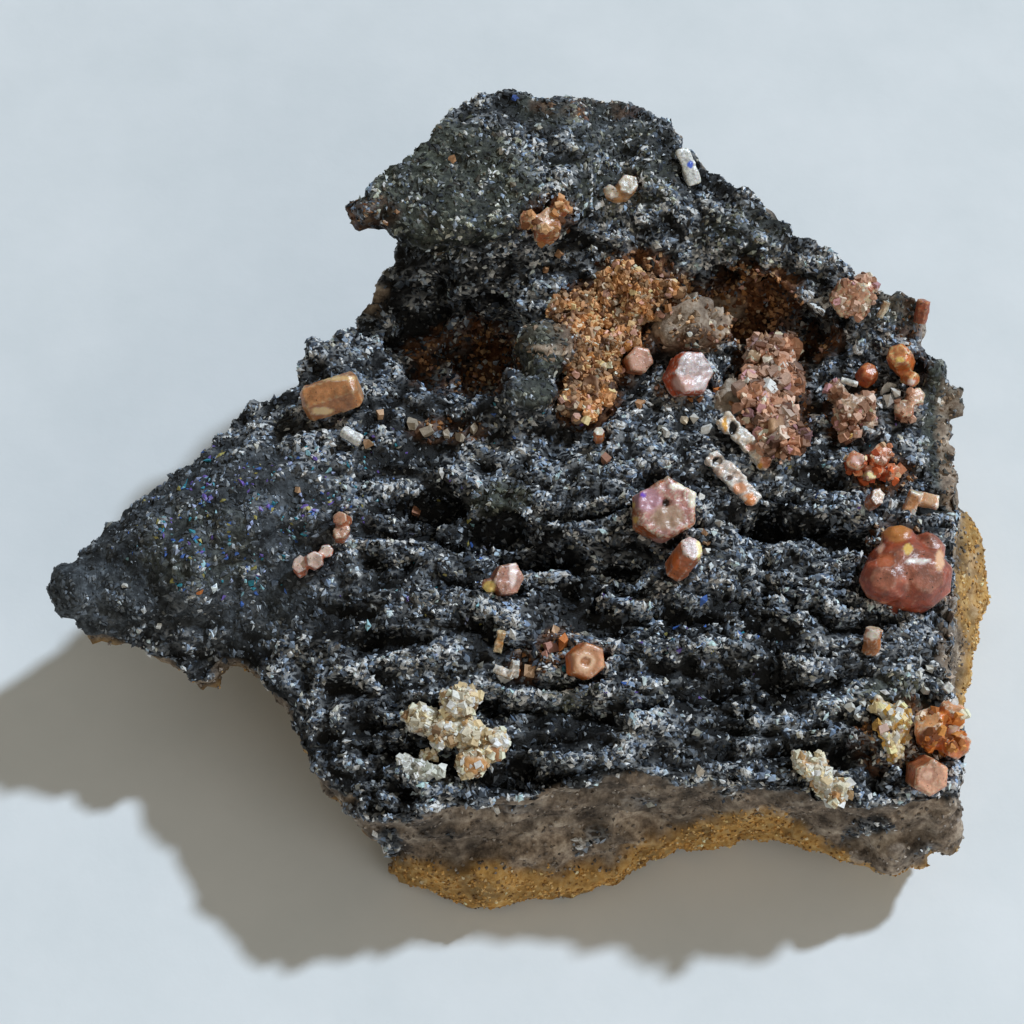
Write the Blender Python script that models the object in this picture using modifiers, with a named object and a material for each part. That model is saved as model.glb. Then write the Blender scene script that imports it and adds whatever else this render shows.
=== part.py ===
"""Vanadinite on barite: a hand specimen of black-crusted barite rock that carries orange-brown
vanadinite crystals and crumbs of cream barite.

Metres, +Z up. X runs to the specimen's right and Y away from the eye that looks down on it. The
origin is under the middle of the specimen's box, on the surface that it lies on.

Places on the specimen are read off its photograph as pixels across and down. The eye's place is
known, so a pixel is a line of sight: with a height it gives a point, and without one it gives the
first point of the rock that the line meets. Sizes and heights are real ones, in millimetres.
"""

import math
from collections import namedtuple

import bmesh
import bpy
import numpy as np
from mathutils import Matrix, Vector, noise
from mathutils.bvhtree import BVHTree

MM = 0.001

# The eye: how far away it is, how high it looks from, and the scale of what it sees.
EYE_ELEVATION = math.radians(60)
EYE_DISTANCE = 181.0
AIM_HEIGHT = 12.0
PIXELS_PER_MM = 13.36
MIDDLE_PIXEL = 512
TO_EYE = Vector((0, -math.cos(EYE_ELEVATION), math.sin(EYE_ELEVATION)))
VIEW_RIGHT = Vector((1, 0, 0))
VIEW_UP = Vector((0, math.sin(EYE_ELEVATION), math.cos(EYE_ELEVATION)))
EYE = Vector((0, 0, AIM_HEIGHT)) + EYE_DISTANCE * TO_EYE

# The rock's wall, from the tip of the wing round by the back: each rim point as pixels across and
# down and a height, then how far its foot stands out beyond it and how high the foot is.
WALL = (
    (50, 592, 12.8, -0.6, 10.6),
    (62, 563, 13.8, -0.6, 10.6),
    (88, 537, 14.4, -0.6, 10.2),
    (120, 505, 15.0, -0.8, 9.8),
    (180, 462, 15.6, -1.0, 9.0),
    (216, 432, 16.0, -1.0, 8.0),
    (262, 404, 16.5, -0.5, 6.5),
    (288, 392, 17.0, 0.3, 4.5),
    (292, 354, 18.0, 0.3, 3.0),
    (318, 343, 18.0, 0.5, 2.0),
    (346, 338, 18.0, 1.0, 1.0),
    (366, 318, 17.0, 1.5, 0.5),
    (386, 285, 17.0, 1.5, 0.0),
    (392, 255, 17.0, 1.5, 0.0),
    (402, 210, 18.0, 1.5, 0.0),
    (434, 160, 20.0, 1.5, 0.0),
    (474, 124, 22.0, 2.0, 0.0),
    (515, 97, 23.0, 3.2, 0.0),
    (560, 97, 23.5, 4.0, 0.0),
    (605, 97, 24.0, 4.0, 0.0),
    (642, 103, 24.0, 4.0, 0.0),
    (670, 120, 24.0, 4.0, 0.0),
    (688, 152, 24.0, 4.0, 0.0),
    (725, 184, 23.5, 4.0, 0.0),
    (762, 211, 23.0, 4.0, 0.0),
    (800, 235, 22.5, 3.2, 0.0),
    (832, 259, 22.0, 3.2, 0.0),
    (862, 276, 21.5, 2.0, 0.4),
    (900, 284, 21.0, 1.5, 0.5),
    (936, 291, 20.5, 0.0, 0.8),
    (926, 335, 19.0, 0.5, 0.8),
    (948, 365, 18.0, 0.5, 0.8),
    (971, 397, 17.0, -0.5, 0.8),
    (955, 430, 16.0, 1.8, 0.8),
    (962, 455, 15.5, 3.0, 0.8),
    (964, 500, 15.0, 3.1, 0.8),
    (962, 560, 14.5, 2.7, 0.8),
    (961, 640, 14.0, 1.6, 1.0),
    (963, 690, 13.5, 0.5, 1.5),
    (971, 722, 13.0, -0.5, 2.0),
    (970, 775, 12.5, 0.0, 3.5),
    (962, 800, 12.0, 1.2, 5.5),
    (905, 808, 12.5, 2.0, 4.0),
    (845, 802, 13.0, 0.0, 3.0),
    (780, 792, 13.0, -1.0, 1.5),
    (740, 785, 13.3, -0.3, 1.0),
    (700, 779, 13.5, 0.6, 0.3),
    (660, 779, 13.5, 1.5, 0.0),
    (620, 782, 13.5, 2.4, 0.0),
    (590, 786, 13.5, 2.3, 0.0),
    (560, 790, 13.5, 3.1, 0.0),
    (530, 795, 13.3, 2.5, 0.0),
    (500, 800, 13.0, 3.4, 0.0),
    (470, 806, 13.0, 2.6, 0.0),
    (440, 812, 13.0, 1.7, 0.0),
    (410, 820, 12.8, 0.3, 0.3),
    (380, 822, 12.5, -0.6, 1.0),
    (345, 800, 12.0, -1.5, 3.0),
    (313, 768, 12.0, -0.8, 6.0),
    (292, 738, 12.0, -0.5, 8.0),
    (286, 705, 12.0, -0.5, 8.5),
    (262, 688, 12.0, -0.5, 8.8),
    (246, 662, 12.0, -0.6, 9.0),
    (212, 668, 11.2, -0.6, 8.5),
    (180, 666, 11.2, -0.6, 8.5),
    (150, 655, 11.4, -0.5, 9.0),
    (118, 645, 11.6, -0.5, 9.5),
    (76, 631, 12.0, -0.5, 10.0),
)

# The height of the rock's upper face at places inside its rim, by pixels across and down.
FACE_HEIGHTS = (
    # The wing, which slopes out and down to the left.
    (90, 590, 14.4), (140, 560, 15.6), (180, 520, 16.8), (240, 480, 18.0), (200, 590, 15.0),
    (150, 615, 13.2), (235, 620, 13.6), (262, 560, 15.4), (300, 440, 18.2), (350, 480, 17.6),
    (325, 540, 16.6), (400, 470, 17.0), (330, 375, 18.4),
    # The ground around the hollow under the head.
    (375, 360, 17.4), (400, 300, 17.6), (430, 260, 18.4), (470, 330, 17.8), (430, 400, 17.0),
    (490, 400, 17.2), (420, 440, 16.8), (520, 300, 18.4),
    # The slope from the head down to the brown patch.
    (540, 260, 19.6), (600, 230, 21.0), (620, 160, 23.2), (660, 200, 22.6), (680, 240, 21.8),
    (660, 275, 20.2), (590, 285, 18.6), (600, 335, 17.2), (600, 390, 16.8), (590, 430, 16.8),
    # The ridge along the back right, down to its lip.
    (720, 225, 22.4), (765, 245, 21.8), (815, 275, 20.9), (708, 252, 20.8), (748, 264, 20.6),
    (788, 282, 20.2), (830, 315, 19.2), (860, 325, 19.0), (885, 305, 19.8),
    # The flat ground in front of both hollows.
    (690, 330, 18.2), (742, 350, 16.8), (790, 362, 16.6), (845, 352, 17.4), (650, 410, 17.6),
    (710, 400, 17.0), (775, 400, 16.6), (770, 440, 16.8), (850, 415, 17.2), (900, 350, 18.0),
    (930, 400, 17.0), (500, 450, 17.0), (600, 470, 17.8), (700, 490, 17.8), (800, 470, 17.0),
    (900, 470, 16.4),
    # The ledges that step down to the front.
    (450, 520, 16.2), (530, 560, 15.9), (620, 568, 16.2), (600, 520, 17.4), (780, 525, 16.4),
    (860, 540, 16.2), (480, 600, 16.6), (380, 590, 16.2), (300, 620, 14.4), (710, 600, 16.8),
    (800, 600, 16.4), (905, 600, 15.6), (420, 650, 15.2), (520, 660, 15.6), (620, 650, 16.2),
    (720, 670, 15.4), (820, 670, 15.2), (910, 690, 14.6), (340, 690, 13.4), (430, 720, 14.2),
    (560, 715, 14.6), (660, 720, 14.8), (760, 720, 14.4), (860, 740, 13.8), (360, 765, 12.6),
    (480, 765, 13.6), (600, 755, 14.2), (700, 755, 14.0), (800, 765, 13.4), (910, 775, 12.8),
)

# What is hollowed out of the upper face: the pixel and height of the middle, and its reach to
# the right, back and up.
HOLLOWS = (
    # Under the head.
    (478, 354, 16.2, 4.6, 4.6, 4.4),
    (418, 322, 16.4, 3.4, 4.4, 2.6),
    # Under the ridge.
    (722, 300, 17.0, 2.6, 3.2, 2.6),
    (766, 316, 16.6, 3.6, 3.2, 3.0),
    (806, 336, 15.8, 2.9, 2.4, 2.5),
    (748, 372, 16.8, 1.2, 1.7, 1.7),
    # The black troughs between the ledges.
    (438, 502, 16.4, 3.0, 1.5, 1.9),
    (496, 534, 16.0, 3.6, 1.5, 2.1),
    (560, 560, 15.8, 3.4, 1.5, 2.1),
    (628, 568, 15.9, 3.2, 1.4, 2.0),
    (770, 526, 16.2, 2.8, 1.4, 1.8),
    (836, 540, 16.0, 3.2, 1.5, 2.0),
)

# The height of its underside inside the feet, in plan millimetres. What comes out below the
# surface that it lies on is cut off flat.
UNDERSIDE_HEIGHTS = (
    (-4, -19, -0.7), (4, -20, -0.7), (12, -17, -0.7), (22, -13, -0.5), (28, -4, -0.3),
    (0, -8, -0.9), (14, -4, -0.9), (-5, 4, -0.6), (8, 8, -0.9), (22, 8, -0.7), (-2, 18, -0.7),
    (10, 22, -0.7), (2, 28, -0.4), (18, 18, -0.5), (-14, -10, 5.0), (-12, -2, 2.6),
    (-14, 5, 3.4), (-20, -5, 7.6), (-26, -5, 9.0),
)

# How the wall's foot stands out: fully up to the first share of its height, not above the second.
FOOT_TOP_SHARE, WALL_TOP_SHARE = 0.28, 0.72
WALL_RINGS = 9
BLOCK_HEIGHT = 16.0

# The head, a thick lobe at the back left that overhangs the hollow in front of it.
HEAD_OUTLINE = (
    (359, 212), (366, 196), (384, 190), (400, 165), (426, 140), (468, 115), (500, 98),
    (520, 97), (548, 112), (590, 125), (612, 165), (600, 205), (560, 232), (528, 240),
    (500, 250), (470, 250), (436, 243), (400, 240), (376, 226),
)
HEAD_HEIGHT = 23.0
HEAD_THICKNESS = 4.6
HEAD_ROUNDING = 1.5
HEAD_TILT = math.radians(4)

# Rounded lumps that stand on the rock: pixels across and down, radius, and height over the face.
LUMPS = (
    (546, 352, 2.5, -0.3),
    (530, 402, 2.9, -0.2),
    (500, 418, 1.9, -0.2),
    (690, 330, 3.0, -1.6),
    (206, 662, 1.9, -1.6),
    (318, 352, 1.7, -0.6),
    (190, 560, 2.9, -1.5),
    (245, 520, 3.2, -1.8),
    (150, 600, 2.6, -1.6),
    (930, 372, 1.9, -0.8),
    (730, 225, 2.4, -1.2),
    (655, 170, 2.6, -1.3),
)

# The ledges of the front field: the distance between them, how far each stands over the next, how
# the field ends at the back and at the left, and how the ledges' lines wander, as waves of a
# height and a length. Their breaks are drawn out along the ledges.
LEDGE_PITCH = 2.9
LEDGE_STEP = 1.35
LEDGE_FIELD_BACK = (3.0, 7.0)
LEDGE_FIELD_LEFT = (-17.0, -13.0)
LEDGE_WAVES = ((1.7, 7.5), (0.9, 3.1))
LEDGE_SLANT = 0.10
LEDGE_BREAKS = (1.3, 5.5)
LEDGE_DRAWN_OUT = (0.35, 1, 0.2)
LEDGE_STRENGTH = (0.15, 0.65, 1.3)

# How rounded the faces are over the heights that they pass through.
FACE_SMOOTHING = 1.6

# The lowest height that the upper face reaches, and the slopes between which a face turns from
# wall to upper face.
UPPER_FACE_LOW = 10.5
WALL_TO_FACE = (0.25, 0.75)

# How broken the surface is: how far its lumps stand out and how large they are. The walls also
# show thin beds, which are drawn out level.
ROUGHNESS = ((0.50, 4.2), (0.26, 1.9))
BEDS = (0.35, 1.6)
BEDS_DRAWN_OUT = (0.25, 0.25, 1)

# The block that is cut off under the rock.
GROUND_SIZE = 120

# The upper face keeps more of its facets than the walls and the underside.
UPPER_FACE_SLOPE = 0.35
PLAINER_SHARE = 0.55

# How fine the rock is worked, and how many triangles it ends with.
WORK_VOXEL = 0.55
ROCK_TRIANGLES = 4200

# The turn from one crystal of a patch to the next, which spreads them evenly.
GOLDEN_ANGLE = math.pi * (3 - math.sqrt(5))

# The room between a crystal and the rock that it is set in.
SEAT_GAP = 0.3

# One crystal: the pixel it shows at, how far its middle stands off the rock towards the eye, its
# width, breadth and length, which way its length points (right, up the picture, towards the eye)
# and its turn about that, in degrees.
Block = namedtuple("Block", "across down lift size axis turn")

# What each piece is made of: colour and roughness.
FINISHES = {
    "black crusted rock": ((0.03, 0.035, 0.045), 0.5),
    "brown crust": ((0.30, 0.15, 0.06), 0.6),
    "vanadinite": ((0.45, 0.12, 0.05), 0.3),
    "barite": ((0.70, 0.62, 0.50), 0.5),
}

# The crystals, as groups that are grown together: mineral, number of sides, share of the width
# that the edges of both ends are bevelled by, and the group's blocks.
GROUPS = {
    "lying_prism": (
        "vanadinite", 6, 0.12,
        [Block(334, 398, 0.9, (3.0, 3.0, 4.3), (0.95, 0.3, 0.1), 10)],
    ),
    "white_rod": ("barite", 6, 0, [Block(353, 437, 0.2, (0.8, 0.8, 1.4), (0.85, -0.5, 0.1), 0)]),
    "wing_crystals_upper": (
        "vanadinite", 6, 0,
        [
            Block(343, 534, 0.4, (1.5, 1.2, 1.1), (0.1, 0.45, 0.9), 0),
            Block(344, 521, 0.3, (1.2, 1.1, 1.2), (-0.3, 0.2, 0.9), 20),
        ],
    ),
    "wing_crystals_lower": (
        "vanadinite", 6, 0,
        [
            Block(302, 568, 0.3, (1.4, 1.1, 1.0), (-0.1, 0.5, 0.85), 0),
            Block(316, 562, 0.4, (1.4, 1.4, 1.3), (0.2, 0.1, 1), 10),
            Block(328, 552, 0.3, (1.1, 1.0, 1.1), (0.1, 0, 1), 0),
        ],
    ),
    "leaning_plate": (
        "vanadinite", 6, 0,
        [
            Block(508, 581, 0.5, (2.6, 2.3, 1.3), (0.3, 0.15, 0.9), 25),
            Block(492, 587, 0.3, (1.1, 1.0, 1.2), (-0.4, 0.1, 0.9), 0),
        ],
    ),
    "banded_hexagon": (
        "vanadinite", 6, 0.08,
        [Block(586, 662, 0.5, (2.8, 2.6, 1.9), (0.3, 0.1, 0.95), 5)],
    ),
    "gold_splinter": (
        "barite", 4, 0, [Block(501, 643, 0.3, (0.9, 0.6, 1.6), (0.2, 0.9, 0.3), 15)],
    ),
    "white_splinters": (
        "barite", 4, 0,
        [
            Block(505, 673, 0.3, (0.9, 0.7, 1.5), (0.9, -0.3, 0.3), 10),
            Block(516, 670, 0.3, (0.9, 0.8, 1.2), (0.2, 0.8, 0.5), 30),
        ],
    ),
    "pitted_hexagon": (
        "vanadinite", 6, 0.06,
        [Block(664, 512, 0.9, (4.9, 4.5, 2.8), (0.16, 0.14, 0.97), 8)],
    ),
    "standing_prism": (
        "vanadinite", 6, 0.06, [Block(684, 560, 1.2, (2.1, 1.9, 3.4), (0.3, 0.5, 0.8), 0)],
    ),
    "ragged_plate": (
        "vanadinite", 6, 0.08,
        [Block(688, 377, 1.0, (3.7, 3.4, 2.2), (0.42, 0.2, 0.9), 12)],
    ),
    "small_hexagon": (
        "vanadinite", 6, 0.08, [Block(638, 363, 0.6, (2.2, 2.1, 1.8), (0.25, 0.1, 0.95), 20)],
    ),
    "tiny_prism": ("vanadinite", 6, 0, [Block(600, 437, 0.3, (0.9, 0.9, 1.2), (0, 0.6, 0.8), 0)]),
    "skeletal_plate_upper": (
        "barite", 4, 0, [Block(746, 443, 0.5, (1.4, 0.8, 4.9), (0.68, -0.73, 0.1), 0)],
    ),
    "skeletal_plate_lower": (
        "barite", 4, 0, [Block(734, 480, 0.5, (1.5, 0.8, 4.6), (0.68, -0.73, 0.1), 0)],
    ),
    "head_crystals": (
        "vanadinite", 6, 0,
        [
            Block(549, 228, 0.6, (2.4, 2.0, 2.2), (0.1, 0.4, 0.9), 0),
            Block(533, 222, 0.3, (1.3, 1.2, 1.6), (-0.5, 0.3, 0.8), 10),
            Block(560, 212, 0.3, (1.5, 1.3, 1.6), (0.6, 0.5, 0.6), 20),
        ],
    ),
    "shoulder_crystals": (
        "vanadinite", 6, 0,
        [
            Block(627, 190, 0.3, (1.8, 1.6, 1.7), (0.2, 0.3, 0.9), 0),
            Block(614, 196, 0.2, (1.4, 1.1, 1.4), (-0.3, 0.2, 0.9), 15),
        ],
    ),
    "bright_blade": (
        "barite", 4, 0, [Block(689, 168, 0.3, (1.1, 0.7, 2.6), (-0.35, 0.93, 0.1), 0)],
    ),
    "ridge_crystals": (
        "vanadinite", 6, 0,
        [
            Block(852, 300, 0.6, (3.4, 2.9, 2.6), (-0.1, -0.2, 0.95), 8),
            Block(864, 290, 0.3, (1.8, 1.4, 1.8), (0.4, 0.4, 0.8), 30),
        ],
    ),
    "ridge_rod": ("barite", 6, 0, [Block(884, 311, 0.3, (0.6, 0.6, 1.3), (0.4, 0.85, 0.3), 0)]),
    "corner_crystals": (
        "vanadinite", 6, 0, [Block(923, 313, 0.2, (1.1, 0.9, 1.8), (0.15, 0.9, 0.3), 0)],
    ),
    "orange_bead": (
        "vanadinite", 6, 0.15, [Block(867, 377, 0.6, (1.7, 1.6, 1.7), (0.2, 0.5, 0.8), 0)],
    ),
    "orange_hexagon": (
        "vanadinite", 6, 0.12,
        [
            Block(901, 362, 0.7, (2.1, 2.0, 2.4), (-0.3, 0.35, 0.85), 15),
            Block(911, 380, 0.3, (1.2, 1.1, 1.3), (0.5, -0.2, 0.8), 0),
        ],
    ),
    "brown_pair": (
        "vanadinite", 6, 0,
        [
            Block(905, 413, 0.4, (1.6, 1.5, 1.5), (-0.2, 0.3, 0.9), 0),
            Block(914, 400, 0.3, (1.5, 1.3, 1.5), (0.3, 0.3, 0.9), 20),
        ],
    ),
    "rosette": (
        "barite", 6, 0,
        [
            Block(850, 412, 0.5, (2.2, 1.9, 2.0), (0, 0.3, 0.95), 0),
            Block(866, 413, 0.4, (1.5, 1.2, 2.6), (-0.1, 0.95, 0.2), 10),
            Block(848, 429, 0.4, (1.7, 1.2, 1.9), (0.2, -0.8, 0.5), 0),
            Block(839, 396, 0.4, (1.5, 1.3, 2.0), (-0.5, 0.7, 0.5), 20),
        ],
    ),
    "rosette_rod": ("barite", 6, 0, [Block(846, 385, 2.5, (0.5, 0.5, 1.3), (0.93, -0.3, 0.1), 0)]),
    "red_crystals": (
        "vanadinite", 6, 0,
        [
            Block(857, 464, 0.4, (1.7, 1.5, 1.6), (-0.2, 0.2, 0.9), 10),
            Block(880, 459, 0.3, (2.0, 1.5, 1.7), (0.1, 0.4, 0.9), 0),
            Block(872, 473, 0.3, (1.7, 1.3, 1.6), (0.2, 0.1, 0.9), 20),
            Block(890, 474, 0.3, (1.4, 1.2, 1.6), (0.5, -0.1, 0.8), 0),
        ],
    ),
    "tan_chip": ("vanadinite", 6, 0, [Block(875, 501, 0.4, (1.5, 1.1, 1.3), (0.3, 0.4, 0.85), 0)]),
    "tan_slabs": (
        "vanadinite", 4, 0,
        [
            Block(912, 505, 0.4, (1.3, 1.0, 1.9), (0.3, 0.9, 0.3), 20),
            Block(926, 501, 0.3, (1.5, 0.8, 2.0), (0.95, -0.2, 0.2), 10),
        ],
    ),
    "gold_chip": (
        "vanadinite", 6, 0, [Block(873, 642, 0.4, (1.3, 0.9, 2.0), (0.1, 0.9, 0.35), 0)],
    ),
    "gold_crumbs": (
        "barite", 4, 0,
        [
            Block(898, 726, 0.4, (2.1, 1.6, 2.6), (0.0, 0.8, 0.6), 20),
            Block(888, 712, 0.4, (1.6, 1.1, 2.4), (0.85, -0.4, 0.3), 0),
            Block(891, 742, 0.5, (1.2, 1.1, 3.0), (-0.35, 0.9, 0.3), 10),
        ],
    ),
    "corner_mass": (
        "vanadinite", 6, 0,
        [
            Block(930, 730, 0.5, (2.6, 2.2, 2.4), (-0.2, 0.5, 0.8), 0),
            Block(948, 722, 0.5, (2.0, 1.7, 2.6), (0.3, 0.8, 0.5), 15),
            Block(952, 744, 0.5, (2.1, 1.8, 2.0), (0.5, -0.3, 0.8), 0),
        ],
    ),
    "white_cube": ("barite", 4, 0, [Block(948, 689, 0.4, (0.9, 0.9, 1.1), (0, 0.1, 0.95), 45)]),
    "brown_hexagon": (
        "vanadinite", 6, 0.08, [Block(926, 775, 0.7, (2.8, 2.6, 2.4), (0.2, -0.1, 0.95), 12)],
    ),
    "cream_mass": (
        "barite", 5, 0.18,
        [
            Block(461, 703, 0.7, (3.0, 2.6, 2.8), (0.1, 0.3, 0.9), 0),
            Block(424, 720, 0.5, (2.8, 2.2, 2.4), (-0.3, 0.2, 0.9), 20),
            Block(446, 733, 0.4, (2.6, 2.3, 2.2), (0.1, 0.1, 1), 40),
            Block(470, 735, 0.4, (2.4, 2.0, 2.2), (0.2, 0.5, 0.8), 10),
            Block(494, 745, 0.5, (2.5, 2.2, 2.4), (0.4, 0.2, 0.8), 30),
            Block(474, 763, 0.3, (2.4, 2.0, 2.0), (0.1, -0.4, 0.9), 15),
        ],
    ),
    "white_crumbs": (
        "barite", 4, 0,
        [
            Block(412, 768, 0.3, (1.2, 0.9, 2.0), (0.7, -0.7, 0.3), 0),
            Block(423, 773, 0.3, (1.3, 1.0, 1.4), (0.1, 0.9, 0.4), 20),
            Block(434, 771, 0.3, (1.0, 0.8, 1.6), (0.9, -0.2, 0.3), 0),
        ],
    ),
    "cream_chip": ("barite", 4, 0, [Block(430, 756, 0.3, (0.8, 0.6, 1.2), (0.95, 0.1, 0.3), 20)]),
    "cream_shelf": (
        "barite", 6, 0,
        [
            Block(808, 767, 0.4, (2.6, 1.3, 2.4), (-0.2, 0.4, 0.9), 15),
            Block(821, 775, 0.3, (2.6, 1.2, 2.2), (0.1, 0.5, 0.8), 0),
            Block(838, 793, 0.2, (2.2, 1.2, 1.8), (0.4, -0.2, 0.9), 20),
        ],
    ),
    "red_ball": (
        "vanadinite", 8, 0.24,
        [
            Block(884, 582, 1.0, (3.6, 3.4, 3.4), (-0.2, 0.1, 0.95), 0),
            Block(918, 580, 1.1, (4.6, 4.4, 4.2), (0.15, 0.1, 0.95), 20),
            Block(897, 547, 0.9, (2.6, 2.4, 3.2), (0, 0.7, 0.7), 10),
            Block(926, 554, 0.9, (2.6, 2.2, 3.0), (0.3, 0.6, 0.7), 0),
        ],
    ),
}

# The crusts of crumbs and short prisms that line the hollow and spill out of it, as oval patches:
# the pixel of the middle, half the width and height in pixels, and the crystals' width. Then the
# pixels between crystals, how far each is lifted and leans, and the room left to the rock.
CRUSTS = {
    "hollow_crust": (
        (627, 290, 26, 22, 1.7),
        (583, 318, 32, 22, 1.6),
        (612, 335, 24, 22, 1.7),
        (594, 372, 25, 34, 1.7),
        (577, 410, 20, 12, 1.6),
        (660, 304, 36, 13, 1.7),
        (712, 318, 16, 16, 1.7),
    ),
    "brown_column": (
        (772, 345, 17, 24, 2.0),
        (772, 384, 20, 24, 2.1),
        (742, 401, 24, 15, 1.9),
        (783, 437, 15, 22, 2.1),
        (764, 414, 20, 14, 1.9),
    ),
}
CRUST_SIDES = 6
CRUST_SPACING = 10
CRUST_LIFT = 0.45
CRUST_LEAN = 0.5
CRUST_UNEVENNESS = 0.2
CRUST_CLEARANCE = 0.45
CRUST_FACETS_PER_VOXEL_FACE = 0.09
CRUST_VOXEL = 0.3


def clear_scene():
    for obj in list(bpy.data.objects):
        bpy.data.objects.remove(obj)


def collection(name):
    made = bpy.data.collections.new(name)
    bpy.context.scene.collection.children.link(made)
    return made


def make_of(obj, mineral):
    """Gives a piece its own material, in its mineral's colour."""
    colour, roughness = FINISHES[mineral]
    made = bpy.data.materials.new(obj.name)
    made.use_nodes = True
    shader = made.node_tree.nodes["Principled BSDF"]
    shader.inputs["Base Color"].default_value = (*colour, 1)
    shader.inputs["Roughness"].default_value = roughness
    shader.inputs["Metallic"].default_value = 0
    obj.data.materials.append(made)


def sight_line(across, down):
    """The direction from the eye through a pixel of the photograph."""
    right = (across - MIDDLE_PIXEL) / PIXELS_PER_MM
    up = (MIDDLE_PIXEL - down) / PIXELS_PER_MM
    point = Vector((0, 0, AIM_HEIGHT)) + right * VIEW_RIGHT + up * VIEW_UP
    return (point - EYE).normalized()


def seen_at_height(across, down, height):
    """The point at this height that shows at this pixel."""
    line = sight_line(across, down)
    return EYE + line * ((height - EYE.z) / line.z)


def view_vector(right, up, towards):
    """A direction given as the eye sees it: to the right, up the picture and towards the eye."""
    return (right * VIEW_RIGHT + up * VIEW_UP + towards * TO_EYE).normalized()


def surface_through(points):
    """A function of x and y that passes smoothly through the heights of these points."""
    plan = np.array([(p[0], p[1]) for p in points])
    heights = np.array([p[2] for p in points])

    def kernel(a, b):
        return np.sqrt(((a[:, None] - b[None]) ** 2).sum(2) + FACE_SMOOTHING**2)

    count = len(plan)
    ones = np.ones((count, 1))
    system = np.zeros((count + 3, count + 3))
    system[:count, :count] = kernel(plan, plan)
    system[:count, count:] = np.hstack([ones, plan])
    system[count:, :count] = system[:count, count:].T
    weights = np.linalg.solve(system, np.concatenate([heights, np.zeros(3)]))

    def height(xy):
        return kernel(xy, plan) @ weights[:count] + weights[count] + xy @ weights[count + 1 :]

    return height


def smoothstep(low, high, value):
    t = np.clip((value - low) / (high - low), 0, 1)
    return t * t * (3 - 2 * t)


def fractal(points, size, seed, octaves=3):
    """Smooth noise from about -1 to 1 at each point, with lumps of this size in millimetres."""
    shift = Vector((seed * 17.3, seed * 5.1, seed * 9.7))
    return np.array(
        [noise.fractal(Vector(p) / size + shift, 0.9, 2.1, octaves) for p in points]
    )


def coordinates(mesh):
    co = np.empty(len(mesh.vertices) * 3, np.float32)
    mesh.vertices.foreach_get("co", co)
    return co.reshape(-1, 3).astype(float)


def vertex_normals(mesh):
    found = np.empty(len(mesh.vertices) * 3, np.float32)
    mesh.vertex_normals.foreach_get("vector", found)
    return found.reshape(-1, 3).astype(float)


def move_vertices(mesh, co):
    mesh.vertices.foreach_set("co", co.astype(np.float32).ravel())
    mesh.update()


def object_of(bm, name, into):
    mesh = bpy.data.meshes.new(name)
    bm.to_mesh(mesh)
    bm.free()
    obj = bpy.data.objects.new(name, mesh)
    into.objects.link(obj)
    return obj


def bake_modifiers(obj):
    """Replaces the object's mesh with what its modifiers make of it."""
    bpy.context.view_layer.update()
    graph = bpy.context.evaluated_depsgraph_get()
    mesh = bpy.data.meshes.new_from_object(obj.evaluated_get(graph))
    obj.modifiers.clear()
    obj.data = mesh
    return obj


def voxel_remesh(obj, size):
    remesh = obj.modifiers.new("Voxels", "REMESH")
    remesh.mode = "VOXEL"
    remesh.voxel_size = size
    return bake_modifiers(obj)


def join(objects):
    """Puts the meshes of several objects, in place, into the first one."""
    bm = bmesh.new()
    for obj in objects:
        mesh = obj.data.copy()
        mesh.transform(obj.matrix_world)
        bm.from_mesh(mesh)
    first = objects[0]
    mesh = bpy.data.meshes.new(first.name)
    bm.to_mesh(mesh)
    bm.free()
    first.data = mesh
    first.matrix_world = Matrix.Identity(4)
    for obj in objects[1:]:
        bpy.data.objects.remove(obj)
    return first


def rock_block(into):
    """The rock between its feet and its rim, as an upright block that is then fitted to the
    heights of its two faces."""
    rim = [seen_at_height(u, v, z) for u, v, z, _, _ in WALL]
    outward = []
    for i in range(len(rim)):
        along = rim[(i + 1) % len(rim)] - rim[i - 1]
        outward.append(Vector((-along.y, along.x, 0)).normalized())
    feet = [p + n * station[3] for p, n, station in zip(rim, outward, WALL)]

    bm = bmesh.new()
    rings = []
    for level in np.linspace(0, 1, WALL_RINGS):
        foot_share = 1 - smoothstep(FOOT_TOP_SHARE, WALL_TOP_SHARE, level)
        ring = [
            bm.verts.new((*top.lerp(foot, foot_share).xy, level * BLOCK_HEIGHT))
            for top, foot in zip(rim, feet)
        ]
        rings.append([bm.edges.new((ring[i - 1], ring[i])) for i in range(len(ring))])
    for lower, upper in zip(rings, rings[1:]):
        bmesh.ops.bridge_loops(bm, edges=lower + upper)
    for ring in (rings[0], rings[-1]):
        bmesh.ops.edgeloop_fill(bm, edges=ring)
    bmesh.ops.recalc_face_normals(bm, faces=bm.faces)
    block = voxel_remesh(object_of(bm, "rock", into), WORK_VOXEL)

    upper = surface_through(
        [tuple(p) for p in rim] + [tuple(seen_at_height(*spot)) for spot in FACE_HEIGHTS]
    )
    lower = surface_through(
        [(foot.x, foot.y, station[4]) for foot, station in zip(feet, WALL)]
        + list(UNDERSIDE_HEIGHTS)
    )
    co = coordinates(block.data)
    share = np.clip(co[:, 2] / BLOCK_HEIGHT, 0, 1)
    below, above = lower(co[:, :2]), upper(co[:, :2])
    co[:, 2] = below + share * (above - below)
    move_vertices(block.data, co)
    return block


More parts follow.
